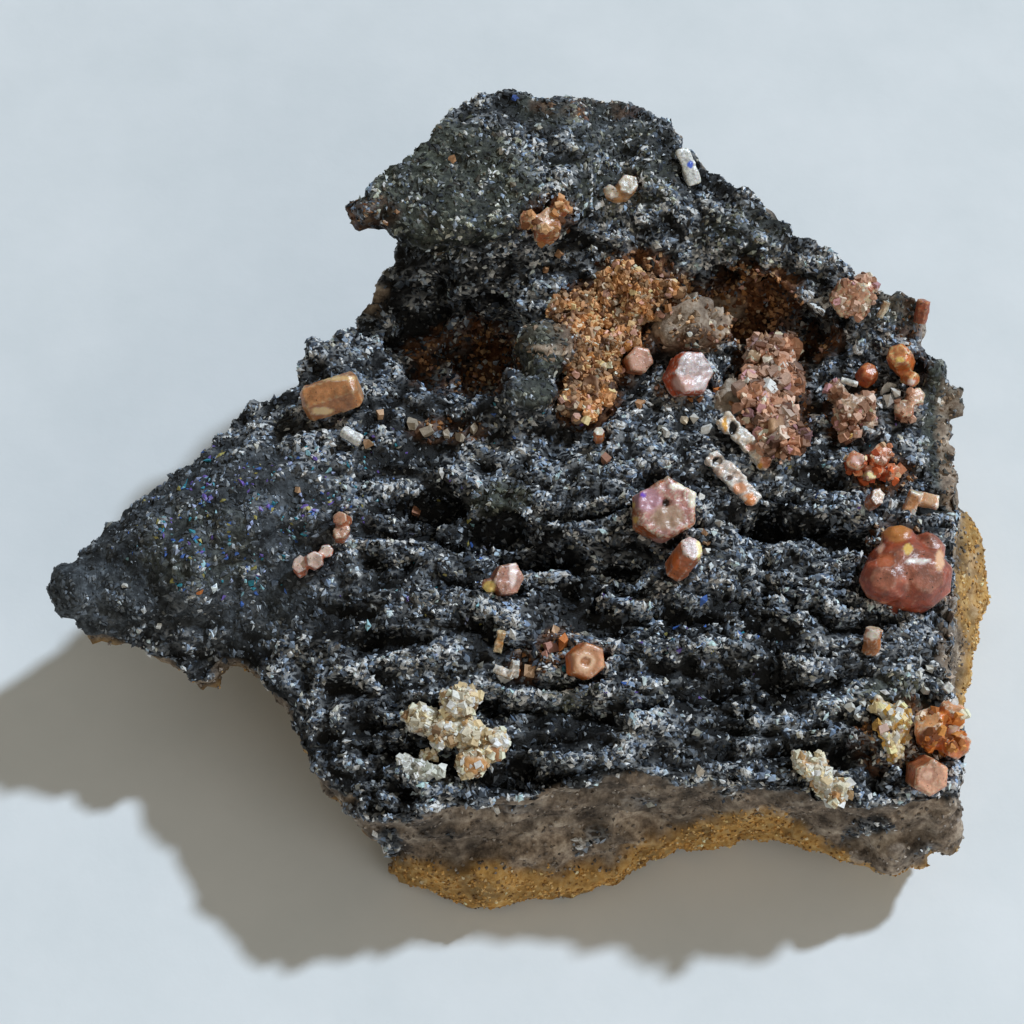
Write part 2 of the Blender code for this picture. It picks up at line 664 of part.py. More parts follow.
def head(into):
    """The overhanging lobe, as a thick slab with a rounded edge that leans towards the eye."""
    points = [seen_at_height(u, v, HEAD_HEIGHT) for u, v in HEAD_OUTLINE]
    middle = sum(points, Vector()) / len(points)
    inset = [middle + (p - middle) * (1 - HEAD_ROUNDING / (p - middle).length) for p in points]
    curve = bpy.data.curves.new("head", "CURVE")
    curve.dimensions = "2D"
    curve.fill_mode = "BOTH"
    curve.extrude = HEAD_THICKNESS / 2 - HEAD_ROUNDING
    curve.bevel_depth = HEAD_ROUNDING
    curve.bevel_resolution = 3
    spline = curve.splines.new("POLY")
    spline.points.add(len(inset) - 1)
    for point, place in zip(spline.points, inset):
        point.co = (place.x - middle.x, place.y - middle.y, 0, 1)
    spline.use_cyclic_u = True
    slab = bpy.data.objects.new("head curve", curve)
    into.objects.link(slab)
    slab.location = middle
    slab.rotation_euler.x = HEAD_TILT
    bpy.context.view_layer.update()
    graph = bpy.context.evaluated_depsgraph_get()
    mesh = bpy.data.meshes.new_from_object(slab.evaluated_get(graph))
    mesh.transform(slab.matrix_world)
    bpy.data.objects.remove(slab)
    bm = bmesh.new()
    bm.from_mesh(mesh)
    bmesh.ops.remove_doubles(bm, verts=bm.verts, dist=0.01)
    return object_of(bm, "head", into)


def lump(place, reach, into):
    """A ball, or an oval that reaches this far along X, Y and Z."""
    bm = bmesh.new()
    bmesh.ops.create_icosphere(bm, subdivisions=3, radius=1)
    bmesh.ops.scale(bm, verts=bm.verts, vec=reach)
    bmesh.ops.translate(bm, verts=bm.verts, vec=place)
    return object_of(bm, "lump", into)


def ledge_height(co):
    """Back-tilted treads that rise towards the eye and then drop, broken up along their length."""
    x, y = co[:, 0], co[:, 1]
    drawn_out = co * LEDGE_DRAWN_OUT
    wander = LEDGE_SLANT * x + LEDGE_BREAKS[0] * fractal(drawn_out, LEDGE_BREAKS[1], seed=3)
    for height, length in LEDGE_WAVES:
        wander += height * np.sin(x / length)
    rise = 0.5 - np.mod((y + wander) / LEDGE_PITCH, 1.0)
    weakest, middling, strongest = LEDGE_STRENGTH
    strength = middling * (1 + fractal(drawn_out, LEDGE_BREAKS[1], seed=8))
    inside = smoothstep(*LEDGE_FIELD_LEFT, x) * (1 - smoothstep(*LEDGE_FIELD_BACK, y))
    return LEDGE_STEP * np.clip(strength, weakest, strongest) * inside * rise


def roughen(obj):
    """Ledges on the upper face, and broken lumps and pits all over."""
    mesh = obj.data
    co, normals = coordinates(mesh), vertex_normals(mesh)
    upper = smoothstep(*WALL_TO_FACE, normals[:, 2]) * (co[:, 2] > UPPER_FACE_LOW)
    co[:, 2] += upper * ledge_height(co)
    rough = sum(
        reach * fractal(co, size, seed)
        for seed, (reach, size) in enumerate(ROUGHNESS, start=1)
    )
    wall = 1 - smoothstep(*WALL_TO_FACE, np.abs(normals[:, 2]))
    beds = BEDS[0] * fractal(co * BEDS_DRAWN_OUT, BEDS[1], seed=5) * wall
    move_vertices(mesh, co + normals * (rough + beds)[:, None])
    return obj


def cut_flat(obj, cutters):
    """Cuts off what lies below the surface that the rock rests on."""
    bm = bmesh.new()
    bmesh.ops.create_cube(bm, size=GROUND_SIZE)
    bmesh.ops.translate(bm, verts=bm.verts, vec=(0, 0, -GROUND_SIZE / 2))
    cut(obj, object_of(bm, "ground", cutters))
    return bake_modifiers(obj)


def thin_out(obj, ratio, part=""):
    """Leaves this share of the facets, of the whole or of a vertex group."""
    decimate = obj.modifiers.new("Facets", "DECIMATE")
    decimate.ratio = ratio
    decimate.vertex_group = part
    return bake_modifiers(obj)


def cut(obj, cutter):
    boolean = obj.modifiers.new("Cut", "BOOLEAN")
    boolean.operation = "DIFFERENCE"
    boolean.solver = "EXACT"
    boolean.object = cutter
    cutter.hide_render = True
    cutter.display_type = "WIRE"


def barite_rock(into, cutters):
    """The one piece of rock: block, overhanging head and lumps grown into one body."""
    block = rock_block(into)
    rock = voxel_remesh(join([block, head(into)]), WORK_VOXEL)
    for across, down, height, *reach in HOLLOWS:
        cut(rock, lump(seen_at_height(across, down, height), reach, cutters))
    bake_modifiers(rock)
    tree = BVHTree.FromObject(rock, bpy.context.evaluated_depsgraph_get())
    pieces = [rock]
    for across, down, radius, rise in LUMPS:
        place = tree.ray_cast(EYE, sight_line(across, down))[0] + Vector((0, 0, rise))
        pieces.append(lump(place, (radius, radius, radius), into))
    rock = voxel_remesh(join(pieces), WORK_VOXEL)
    rock = voxel_remesh(roughen(rock), WORK_VOXEL)
    plainer = rock.vertex_groups.new(name="plainer")
    lower = [v.index for v in rock.data.vertices if v.normal.z < UPPER_FACE_SLOPE]
    plainer.add(lower, 1.0, "REPLACE")
    thin_out(rock, PLAINER_SHARE, plainer.name)
    thin_out(rock, ROCK_TRIANGLES / (2 * len(rock.data.polygons)))
    cut_flat(rock, cutters)
    rock.name = "barite_rock"
    return rock


def crystal(block, place, sides, bevel, grown, into):
    """One crystal as a straight prism with its end edges bevelled. Grown is how much bigger every
    face stands out, for the socket that it sits in."""
    width, breadth, length = (size + 2 * grown for size in block.size)
    bm = bmesh.new()
    bmesh.ops.create_cone(
        bm, cap_ends=True, segments=sides, radius1=0.5, radius2=0.5, depth=1,
        matrix=Matrix.Rotation(math.pi / sides, 4, "Z"),
    )
    bmesh.ops.scale(bm, verts=bm.verts, vec=(width, breadth, length))
    if bevel:
        ends = [e for e in bm.edges if abs(e.verts[0].co.z - e.verts[1].co.z) < length / 2]
        bmesh.ops.bevel(
            bm, geom=ends, offset=bevel * min(width, length), offset_type="OFFSET",
            segments=1, affect="EDGES",
        )
    turn = view_vector(*block.axis).to_track_quat("Z", "Y").to_matrix().to_4x4()
    turn = Matrix.Translation(place) @ turn @ Matrix.Rotation(math.radians(block.turn), 4, "Z")
    bmesh.ops.transform(bm, verts=bm.verts, matrix=turn)
    return object_of(bm, "crystal", into)


def grown_together(objects):
    """One body out of crystals that run into each other."""
    first = objects[0]
    for other in objects[1:]:
        boolean = first.modifiers.new("Grow together", "BOOLEAN")
        boolean.operation = "UNION"
        boolean.solver = "EXACT"
        boolean.object = other
    bake_modifiers(first)
    for other in objects[1:]:
        bpy.data.objects.remove(other)
    return first


def seat(tree, block):
    """Where a crystal's middle goes: on its line of sight, just off the rock."""
    hit = tree.ray_cast(EYE, sight_line(block.across, block.down))[0]
    return hit + block.lift * TO_EYE


def group(name, tree, grown, into):
    """A group of crystals as one body, or its socket, which is the same grown all over."""
    _, sides, bevel, blocks = GROUPS[name]
    bevel = 0 if grown else bevel
    made = grown_together(
        [crystal(b, seat(tree, b), sides, bevel, grown, into) for b in blocks]
    )
    made.name = name + ".socket" if grown else name
    return made


def crust(name, tree, rock, sockets, into, cutters):
    """A crust, as one body of short prisms that follows the rock. Each patch is filled by a
    spiral of them, and each leans its own way."""
    prisms = []
    for across, down, half_width, half_height, width in CRUSTS[name]:
        count = round(math.pi * half_width * half_height / CRUST_SPACING**2)
        for k in range(count):
            reach = math.sqrt((k + 0.5) / count)
            around = k * GOLDEN_ANGLE
            size = width * (1 + CRUST_UNEVENNESS * math.sin(5.1 * k + across))
            block = Block(
                across + half_width * reach * math.cos(around),
                down + half_height * reach * math.sin(around),
                CRUST_LIFT,
                (size, size * 0.9, size * 1.1),
                (CRUST_LEAN * math.sin(2.4 * k), CRUST_LEAN * math.cos(1.7 * k), 0.9),
                math.degrees(around),
            )
            prisms.append(crystal(block, seat(tree, block), CRUST_SIDES, 0, 0, into))
    made = voxel_remesh(join(prisms), CRUST_VOXEL)
    made.name = name
    cut(made, swollen(rock, CRUST_CLEARANCE, cutters))
    for socket in sockets:
        if near(made, socket):
            cut(made, socket)
    bake_modifiers(made)
    voxel_remesh(made, CRUST_VOXEL)
    keep_largest_body(made)
    return thin_out(made, CRUST_FACETS_PER_VOXEL_FACE)


def keep_largest_body(obj):
    """Drops the crumbs that a cut leaves loose."""
    bm = bmesh.new()
    bm.from_mesh(obj.data)
    bodies = []
    left = set(bm.verts)
    while left:
        body, edge = set(), {left.pop()}
        while edge:
            body |= edge
            edge = {e.other_vert(v) for v in edge for e in v.link_edges} - body
        left -= body
        bodies.append(body)
    bodies.sort(key=len)
    bmesh.ops.delete(bm, geom=[v for body in bodies[:-1] for v in body], context="VERTS")
    bm.to_mesh(obj.data)
    bm.free()


def swollen(obj, amount, into):
    """A copy that stands out by this much all over."""
    copy = bpy.data.objects.new(obj.name + " swollen", obj.data.copy())
    into.objects.link(copy)
    move_vertices(copy.data, coordinates(copy.data) + vertex_normals(copy.data) * amount)
    return copy


def box(objects):
    """The two corners of the box around objects that are in place."""
    corners = [corner for obj in objects for corner in obj.bound_box]
    return [Vector(pick(c[axis] for c in corners) for axis in range(3)) for pick in (min, max)]


def near(one, other):
    """Whether the boxes around two objects meet."""
    (low, high), (other_low, other_high) = box([one]), box([other])
    return all(low[a] < other_high[a] and other_low[a] < high[a] for a in range(3))


def main():
    clear_scene()
    specimen = collection("vanadinite on barite")
    cutters = collection("cutters")
    cutters.hide_render = True

    rock = barite_rock(specimen, cutters)
    make_of(rock, "black crusted rock")
    tree = BVHTree.FromObject(rock, bpy.context.evaluated_depsgraph_get())
    sockets = [group(name, tree, SEAT_GAP, cutters) for name in GROUPS]
    for name in CRUSTS:
        make_of(crust(name, tree, rock, sockets, specimen, cutters), "brown crust")
    for name, (mineral, *_) in GROUPS.items():
        make_of(group(name, tree, 0, specimen), mineral)
    for socket in sockets:
        cut(rock, socket)

    low, high = box(specimen.objects)
    middle = (low + high) / 2
    centred = Matrix.Translation((-round(middle.x, 1), -round(middle.y, 1), 0))
    for obj in bpy.data.objects:
        obj.matrix_world = Matrix.Scale(MM, 4) @ centred


main()
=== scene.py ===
"""The looks of a vanadinite on barite specimen: a rock in a crust of glinting black grains, with
brown-lined hollows, crumbs of cream barite and orange-brown vanadinite crystals.

Pieces are made in millimetres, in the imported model's frame, and scaled to metres at the end.
Places are given as pixels across and down a frame of 1024 that the camera sees, and each is
carried along its line of sight to the rock.
"""

import math
from collections import namedtuple

import bmesh
import bpy
import numpy as np
from mathutils import Matrix, Vector, noise
from mathutils.bvhtree import BVHTree


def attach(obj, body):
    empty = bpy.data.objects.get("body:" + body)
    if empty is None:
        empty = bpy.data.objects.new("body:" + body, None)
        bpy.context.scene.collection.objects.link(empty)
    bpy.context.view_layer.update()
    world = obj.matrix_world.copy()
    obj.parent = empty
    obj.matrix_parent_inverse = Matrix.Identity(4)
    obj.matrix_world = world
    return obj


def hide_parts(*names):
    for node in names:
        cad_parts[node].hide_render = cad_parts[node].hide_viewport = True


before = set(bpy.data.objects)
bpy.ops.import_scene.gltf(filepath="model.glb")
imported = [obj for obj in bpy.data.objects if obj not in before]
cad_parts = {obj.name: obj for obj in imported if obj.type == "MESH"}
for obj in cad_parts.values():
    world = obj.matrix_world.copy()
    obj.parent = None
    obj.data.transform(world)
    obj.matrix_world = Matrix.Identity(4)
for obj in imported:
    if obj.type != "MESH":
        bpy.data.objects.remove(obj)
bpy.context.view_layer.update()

MM = 0.001

# The camera: what it aims at, how far away it is and how high it looks from.
AIM = Vector((-1.7, -3.8, 12.0))
ELEVATION = math.radians(60)
DISTANCE = 181.0
LENS, SENSOR = 85.0, 36.0
FRAME = 1024
FOCAL_PIXELS = LENS / SENSOR * FRAME
TO_EYE = Vector((0, -math.cos(ELEVATION), math.sin(ELEVATION)))
EYEWARD = np.array(TO_EYE)
RIGHT = Vector((1, 0, 0))
UP = Vector((0, math.sin(ELEVATION), math.cos(ELEVATION)))
EYE = AIM + DISTANCE * TO_EYE

# The rim of the rock's upper face, as pixels across and down and a height.
RIM = (
    (50, 592, 12.8), (88, 537, 14.4), (180, 462, 15.6), (288, 392, 17.0), (346, 338, 18.0),
    (392, 255, 17.0), (434, 160, 20.0), (515, 97, 23.0), (605, 97, 24.0), (670, 120, 24.0),
    (725, 184, 23.5), (800, 235, 22.5), (862, 276, 21.5), (936, 291, 20.5), (948, 365, 18.0),
    (955, 430, 16.0), (964, 500, 15.0), (961, 640, 14.0), (971, 722, 13.0), (962, 800, 12.0),
    (905, 808, 12.5), (845, 802, 13.0), (780, 792, 13.0), (740, 785, 13.3), (700, 779, 13.5),
    (620, 782, 13.5), (560, 790, 13.5), (500, 800, 13.0), (440, 812, 13.0), (380, 822, 12.5),
    (345, 800, 12.0), (313, 768, 12.0), (286, 705, 12.0), (246, 662, 12.0), (180, 666, 11.2),
    (118, 645, 11.6), (76, 631, 12.0),
)

# The pixel height of the ochre band's upper edge along the front of the rock.
OCHRE_EDGE = (
    (380, 868), (430, 862), (480, 866), (540, 872), (575, 870), (610, 868), (630, 850),
    (660, 838), (700, 822), (740, 810), (770, 812), (800, 830), (840, 846),
)


# Small tools


def linear(code):
    """An sRGB hex colour as linear red, green, blue and alpha."""
    values = [int(code[i : i + 2], 16) / 255 for i in (1, 3, 5)]
    return tuple(v / 12.92 if v <= 0.04045 else ((v + 0.055) / 1.055) ** 2.4 for v in values) + (1,)


def add(tree, kind, inputs=None, outputs=None, stops=(), **settings):
    """Adds a node with its settings and links. An input is a value, or an output to link it to,
    an output goes to another node's socket, and stops are a ramp's positions and hex colours."""
    made = tree.nodes.new(kind)
    for name, value in settings.items():
        setattr(made, name, value)
    for name, value in (inputs or {}).items():
        if isinstance(value, bpy.types.NodeSocket):
            tree.links.new(value, made.inputs[name])
        else:
            made.inputs[name].default_value = value
    for name, socket in (outputs or {}).items():
        tree.links.new(made.outputs[name], socket)
    if stops:
        elements = made.color_ramp.elements
        while len(elements) < len(stops):
            elements.new(0.5)
        for element, (position, code) in zip(elements, stops):
            element.position = position
            element.color = linear(code)
    return made


def smoothstep(low, high, value):
    t = np.clip((value - low) / (high - low), 0, 1)
    return t * t * (3 - 2 * t)


def unit(vectors):
    return vectors / np.maximum(np.linalg.norm(vectors, axis=-1, keepdims=True), 1e-9)


def sight_line(across, down):
    """The direction from the camera through a pixel."""
    right = (across - FRAME / 2) / FOCAL_PIXELS
    up = (FRAME / 2 - down) / FOCAL_PIXELS
    return (right * RIGHT + up * UP - TO_EYE).normalized()


def seen_at_height(across, down, height):
    line = sight_line(across, down)
    return EYE + line * ((height - EYE.z) / line.z)


def pixels(co):
    """Where points show in the frame, as pixels across and down."""
    from_eye = co - np.array(EYE)
    scale = FOCAL_PIXELS / -(from_eye @ EYEWARD)
    across = FRAME / 2 + scale * (from_eye @ np.array(RIGHT))
    down = FRAME / 2 - scale * (from_eye @ np.array(UP))
    return across, down


def lumps(co, size, seed, octaves=3):
    """Smooth noise from about -1 to 1, with lumps of this size in millimetres."""
    shift = Vector((seed * 17.3, seed * 5.1, seed * 9.7))
    return np.array([noise.fractal(Vector(p) + shift, 0.9, 2.1, octaves) for p in co / size])


def knobs(co, size, seed):
    """Rounded knobs of this size: 1 at each knob's middle and about 0 in the creases."""
    shift = Vector((seed * 11.9, seed * 3.7, seed * 7.3))
    near = [noise.voronoi(Vector(p) + shift)[0][0] for p in co / size]
    return 1 - np.clip(np.array(near) * 1.3, 0, 1.3)


def spots(across, down, places):
    """A mask of soft oval patches: pixel, half width, half height and strength."""
    mask = np.zeros(len(across))
    for u, v, half_width, half_height, strength in places:
        reach = ((across - u) / half_width) ** 2 + ((down - v) / half_height) ** 2
        mask = np.maximum(mask, strength * (1 - smoothstep(0.45, 1.25, reach)))
    return mask


def ragged_spots(across, down, places, ragged, share, least=0.02):
    """The same with ragged edges, by this share of a noise."""
    mask = spots(across, down, places)
    return np.clip(mask + share * ragged * (mask > least), 0, 1)


# Meshes

workshop = bpy.data.collections.new("workshop")
bpy.context.scene.collection.children.link(workshop)


def show(obj):
    bpy.context.scene.collection.objects.link(obj)
    return obj


def new_object(name, mesh):
    obj = bpy.data.objects.new(name, mesh)
    workshop.objects.link(obj)
    return obj


def mesh_from(bm, name):
    mesh = bpy.data.meshes.new(name)
    bm.to_mesh(mesh)
    bm.free()
    return mesh


def modified(obj, kind, **settings):
    """Replaces the object's mesh with what a modifier makes of it."""
    modifier = obj.modifiers.new(kind, kind)
    for name, value in settings.items():
        setattr(modifier, name, value)
    bpy.context.view_layer.update()
    graph = bpy.context.evaluated_depsgraph_get()
    mesh = bpy.data.meshes.new_from_object(obj.evaluated_get(graph))
    obj.modifiers.clear()
    obj.data = mesh


def remeshed(name, meshes, voxel, steps):
    """Meshes made one closed skin of even faces this wide, smoothed in some steps."""
    bm = bmesh.new()
    for mesh in meshes:
        bm.from_mesh(mesh)
    obj = new_object(name, mesh_from(bm, name))
    modified(obj, "REMESH", mode="VOXEL", voxel_size=voxel)
    modified(obj, "SMOOTH", factor=0.5, iterations=steps)
    return obj


def node_mesh(name):
    """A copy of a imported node's mesh, in millimetres."""
    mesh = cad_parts[name].data.copy()
    mesh.transform(Matrix.Scale(1 / MM, 4))
    return mesh


def read(items, key, width=3, kind=np.float32):
    """What a mesh's points, edges or triangles hold under a key, a row for each."""
    found = np.empty(len(items) * width, kind)
    items.foreach_get(key, found)
    return found.reshape(-1, width).astype(float if kind is np.float32 else int)


def surface(mesh):
    """Where a mesh's points are, and its normals there."""
    return read(mesh.vertices, "co"), read(mesh.vertex_normals, "vector")


def stored(mesh, name):
    return read(mesh.attributes[name].data, "value", 1)[:, 0]


def set_coordinates(mesh, co):
    mesh.vertices.foreach_set("co", co.astype(np.float32).ravel())
    mesh.update()


def bulge(mesh):
    """How far each point stands out from the mean of its neighbours: edges are above 0."""
    co, normals = surface(mesh)
    a, b = read(mesh.edges, "vertices", 2, np.int32).T
    total, count = np.zeros_like(co), np.zeros(len(co))
    for one, other in ((a, b), (b, a)):
        np.add.at(total, one, co[other])
        np.add.at(count, one, 1)
    mean = total / np.maximum(count, 1)[:, None]
    return ((co - mean) * normals).sum(1)


def keep_values(mesh, name, values):
    """Stores one number or colour for each point, for the materials to read."""
    kind, key = ("FLOAT", "value") if values.ndim == 1 else ("FLOAT_COLOR", "color")
    made = mesh.attributes.new(name, kind, "POINT")
    made.data.foreach_set(key, values.astype(np.float32).ravel())


def hand_over(obj, name, material, nodes=(), flat=False):
    """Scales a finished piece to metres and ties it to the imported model."""
    obj.name = name
    obj.data.name = name
    obj.data.transform(Matrix.Scale(MM, 4))
    obj.data.materials.clear()
    obj.data.materials.append(material)
    obj.data.polygons.foreach_set("use_smooth", [not flat] * len(obj.data.polygons))
    obj.data.update()
    workshop.objects.unlink(obj)
    show(obj)
    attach(obj, "root")
    if nodes:
        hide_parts(*nodes)


# Small things by the thousand

Shape = namedtuple("Shape", "points faces")


def drum(sides, foot, top=0.5):
    """A block or prism with this many sides and these radii at its foot and top."""
    angles = np.arange(sides) * 2 * math.pi / sides
    points = []
    for radius, height in ((foot, -0.5), (top, 0.5)):
        points += [(radius * math.cos(a), radius * math.sin(a), height) for a in angles]
    faces = [tuple(reversed(range(sides))), tuple(range(sides, 2 * sides))]
    for i in range(sides):
        following = (i + 1) % sides
        faces.append((i, following, sides + following, sides + i))
    return Shape(points, faces)


# An eight-sided grain, a block and a short six-sided prism.
GRAIN = Shape(
    [(0.5, 0, 0), (0, 0.5, 0), (-0.5, 0, 0), (0, -0.5, 0), (0, 0, 0.5), (0, 0, -0.5)],
    [(0, 1, 4), (1, 2, 4), (2, 3, 4), (3, 0, 4), (1, 0, 5), (2, 1, 5), (3, 2, 5), (0, 3, 5)],
)
BLOCK = drum(4, 0.62)
PRISM = drum(6, 0.5)


def sprinkle(rng, mesh, count, density, value=None):
    """Even random places on a mesh, with more where the density of its points is higher, the
    normals there, and a value of its points there."""
    co, normals = surface(mesh)
    mesh.calc_loop_triangles()
    tris = read(mesh.loop_triangles, "vertices", 3, np.int32)
    a, b, c = co[tris[:, 0]], co[tris[:, 1]], co[tris[:, 2]]
    area = np.linalg.norm(np.cross(b - a, c - a), axis=1) * density[tris].mean(1)
    chosen = rng.choice(len(tris), size=count, p=area / area.sum())
    share = np.sort(rng.random((count, 2)), axis=1)
    share = np.stack([share[:, 0], share[:, 1] - share[:, 0], 1 - share[:, 1]], axis=1)
    corners = tris[chosen]
    place = (co[corners] * share[..., None]).sum(1)
    normal = unit((normals[corners] * share[..., None]).sum(1))
    if value is None:
        return place, normal
    return place, normal, (value[corners] * share).sum(1)


def scatter(rng, shape, places, normals, sizes, lean, lift, unevenness):
    """One mesh of many copies of a shape, each leaning its own way from the surface."""
    count, step = len(places), len(shape.points)
    axis = unit(normals + lean * rng.normal(size=(count, 3)))
    side = unit(np.cross(axis, rng.normal(size=(count, 3))))
    turns = np.stack([side, np.cross(axis, side), axis], axis=1)
    points = np.array(shape.points) + unevenness * (rng.random((count, step, 3)) - 0.5)
    points = (points * sizes[:, None]) @ turns + (places + normals * lift[:, None])[:, None]
    starts = np.arange(count)[:, None] * step
    faces = [row for face in shape.faces for row in (starts + np.array(face)).tolist()]
    mesh = bpy.data.meshes.new("scattered")
    mesh.from_pydata(points.reshape(-1, 3).tolist(), [], faces)
    return mesh


def hand_over_scattered(mesh, shape, tints, name, material):
    """Gives every copy in a scattered mesh its own colour, and hands the piece over."""
    keep_values(mesh, "Tint", np.repeat(tints, len(shape.points), axis=0))
    hand_over(new_object(name, mesh), name, material, flat=True)


def picked(rng, count, palette):
    """A colour for each of many things, from hex colours with their shares, a little varied."""
    shares = np.array([share for _, share in palette], float)
    colours = np.array([linear(code) for code, _ in palette])
    chosen = colours[rng.choice(len(palette), size=count, p=shares / shares.sum())].copy()
    chosen[:, :3] *= rng.uniform(0.7, 1.35, size=(count, 1))
    return np.clip(chosen, 0, 1)


def recolour(rng, tints, share, palette):
    """Gives this share of the grains a colour from another palette, and says which they are."""
    chosen = rng.random(len(tints)) < share
    tints[chosen] = picked(rng, chosen.sum(), palette)
    return chosen


# The rock

rim_points = np.array([tuple(seen_at_height(*place)) for place in RIM])


def rim_nearby(co):
    """The height of the rim nearest to each point, and how far outside it the point is in plan."""
    best, height, outside = np.full(len(co), 1e9), np.zeros(len(co)), np.zeros(len(co))
    for start, end in zip(rim_points, np.roll(rim_points, -1, axis=0)):
        along = end[:2] - start[:2]
        apart = co[:, :2] - start[:2]
        share = np.clip((apart @ along) / (along @ along), 0, 1)
        gap = np.linalg.norm(apart - share[:, None] * along, axis=1)
        side = np.where(along[0] * apart[:, 1] - along[1] * apart[:, 0] > 0, 1, -1)
        closer = gap < best
        best[closer] = gap[closer]
        outside[closer] = (gap * side)[closer]
        height[closer] = (start[2] + share * (end[2] - start[2]))[closer]
    return height, outside


# Places in the frame, each with its half width, half height and strength. First where iron oxide
# stains the crust brown, and where the crust is greenish grey.
BROWN_PLACES = (
    (460, 355, 60, 36, 0.6), (605, 330, 52, 56, 1.0), (655, 292, 46, 28, 1.0),
    (635, 270, 40, 22, 0.9), (750, 305, 56, 40, 1.0), (805, 340, 44, 20, 0.5),
    (772, 395, 40, 66, 0.75), (585, 395, 34, 34, 0.7), (690, 385, 36, 20, 0.4),
    (548, 215, 30, 22, 0.4), (850, 410, 30, 34, 0.4), (880, 470, 40, 22, 0.4),
    (595, 104, 64, 14, 0.24), (688, 330, 40, 26, 0.5), (378, 214, 24, 20, 0.4),
    (905, 560, 40, 50, 0.35), (560, 645, 26, 22, 0.5), (445, 430, 40, 14, 0.4),
    (905, 735, 50, 40, 0.4), (530, 660, 30, 20, 0.4), (930, 320, 34, 40, 0.4),
    (952, 450, 14, 60, 0.35),
)
GREEN_PLACES = (
    (450, 185, 95, 70, 0.9), (545, 352, 34, 30, 0.8), (500, 498, 34, 18, 0.8),
    (570, 105, 60, 24, 0.5), (200, 545, 60, 50, 0.45), (620, 170, 70, 50, 0.4),
    (900, 700, 40, 30, 0.5), (570, 690, 30, 20, 0.4), (695, 342, 20, 12, 1.0),
    (530, 393, 26, 18, 0.6), (745, 240, 50, 40, 0.3), (948, 420, 26, 90, 0.8),
    (905, 302, 44, 26, 0.7),
)
# Where bare tan rock shows smooth between the crusts: the mound and the right edge.
TAN_PLACES = (
    (688, 328, 40, 26, 1.0), (724, 312, 24, 18, 0.9), (548, 340, 28, 20, 0.65),
    (952, 440, 16, 70, 0.6), (905, 300, 40, 16, 0.45), (952, 640, 12, 60, 0.5),
)
# The ochre lip low on the right.
OCHRE_LIP = ((976, 580, 20, 84, 1.0),)
# The black troughs between the ledges, and the pits in the front wall.
TROUGHS = (
    (430, 505, 42, 22, 1.0), (480, 530, 42, 20, 1.0), (540, 553, 46, 17, 1.0),
    (602, 566, 46, 9, 0.3), (652, 578, 34, 8, 0.2), (788, 521, 68, 15, 1.0),
    (735, 592, 44, 11, 0.3), (385, 640, 60, 10, 0.6), (560, 742, 66, 11, 0.6),
    (690, 690, 60, 10, 0.5), (330, 610, 40, 9, 0.5),
)
WALL_PITS = ((388, 850, 14, 16, 1.0), (640, 828, 26, 12, 0.7))
# Black pockets of crust in the front wall.
BLACK_POCKETS = (
    (386, 848, 17, 14, 1.0), (583, 850, 9, 9, 0.8), (598, 838, 12, 7, 0.8), (352, 812, 22, 8, 0.7),
    (450, 838, 8, 5, 0.5), (848, 838, 10, 8, 0.6), (875, 830, 22, 8, 0.7), (520, 812, 22, 6, 0.6),
    (925, 850, 10, 6, 0.5), (735, 796, 24, 7, 0.6), (640, 806, 20, 6, 0.5),
)
# Where the rock swells: the wing's tip, the beak, the domes, the mound and two corners. Here the
# strength is in millimetres.
SWELLINGS = (
    (58, 592, 34, 30, 0.9), (966, 398, 16, 26, 0.9), (362, 214, 16, 14, 1.3),
    (546, 350, 26, 26, 1.5), (530, 395, 24, 16, 1.1), (690, 328, 40, 24, 1.2),
    (900, 862, 30, 20, 0.6), (952, 830, 20, 30, 0.6), (590, 104, 56, 14, 0.5),
)
HEAD_BACK = ((405, 150, 70, 45, 0.9),)
# Where only the sides that turn away from the camera swell, in millimetres: the ridge's back
# edge, the neck and the notch beside it.
EDGE_SWELLINGS = (
    (668, 124, 40, 30, 0.8), (712, 172, 44, 36, 1.3), (765, 216, 46, 36, 1.3),
    (825, 256, 46, 34, 1.2), (885, 286, 36, 26, 0.7), (352, 345, 20, 16, 1.2),
    (374, 300, 24, 44, 1.0), (262, 410, 44, 26, 0.7),
)
# The hollows under the head and the ridge, which are lumpy inside.
HOLLOWS = (
    (470, 345, 74, 46, 1.0), (755, 300, 70, 44, 1.0), (820, 335, 50, 26, 1.0),
    (745, 370, 20, 24, 0.8),
)
# Where the crust's grains and net are blackest: partly darker crust, and partly painted shade under the
# head and its beak, in the hollow below it and in the troughs between the ledges.
BLACKEST_AND_SHADED = (
    (75, 600, 70, 50, 0.3), (455, 290, 110, 46, 0.15), (430, 360, 60, 50, 0.1),
    (200, 640, 70, 30, 0.25), (470, 530, 110, 40, 0.15), (350, 760, 70, 60, 0.3),
    (330, 610, 80, 50, 0.3), (415, 420, 54, 44, 0.3), (415, 545, 50, 36, 0.3),
    (770, 735, 74, 34, 0.3), (400, 240, 40, 30, 0.5),
    (860, 668, 40, 28, 0.25),
)
# Where the crust is worn smooth, so that its grains are all nearly alike.
WORN_SMOOTH = (
    (85, 600, 70, 50, 0.85), (140, 560, 80, 70, 0.6), (580, 112, 90, 26, 0.45),
    (545, 362, 36, 30, 0.5), (530, 393, 28, 22, 0.5), (450, 180, 90, 60, 0.3),
    (948, 420, 26, 90, 0.6), (905, 302, 44, 26, 0.5), (230, 540, 130, 110, 0.7),
)
# Where the brown crusts thin out into the rock.
THIN_CRUST = (
    (722, 400, 26, 36, 1.0), (695, 318, 44, 34, 1.0), (555, 305, 18, 16, 0.5),
    (575, 415, 22, 16, 0.6), (812, 440, 14, 26, 0.7), (742, 456, 14, 12, 0.8),
)

# The masks of where the rock has each finish.
FINISHES = ("Broken", "Ochre", "Brown", "Green", "Tan", "Smooth")


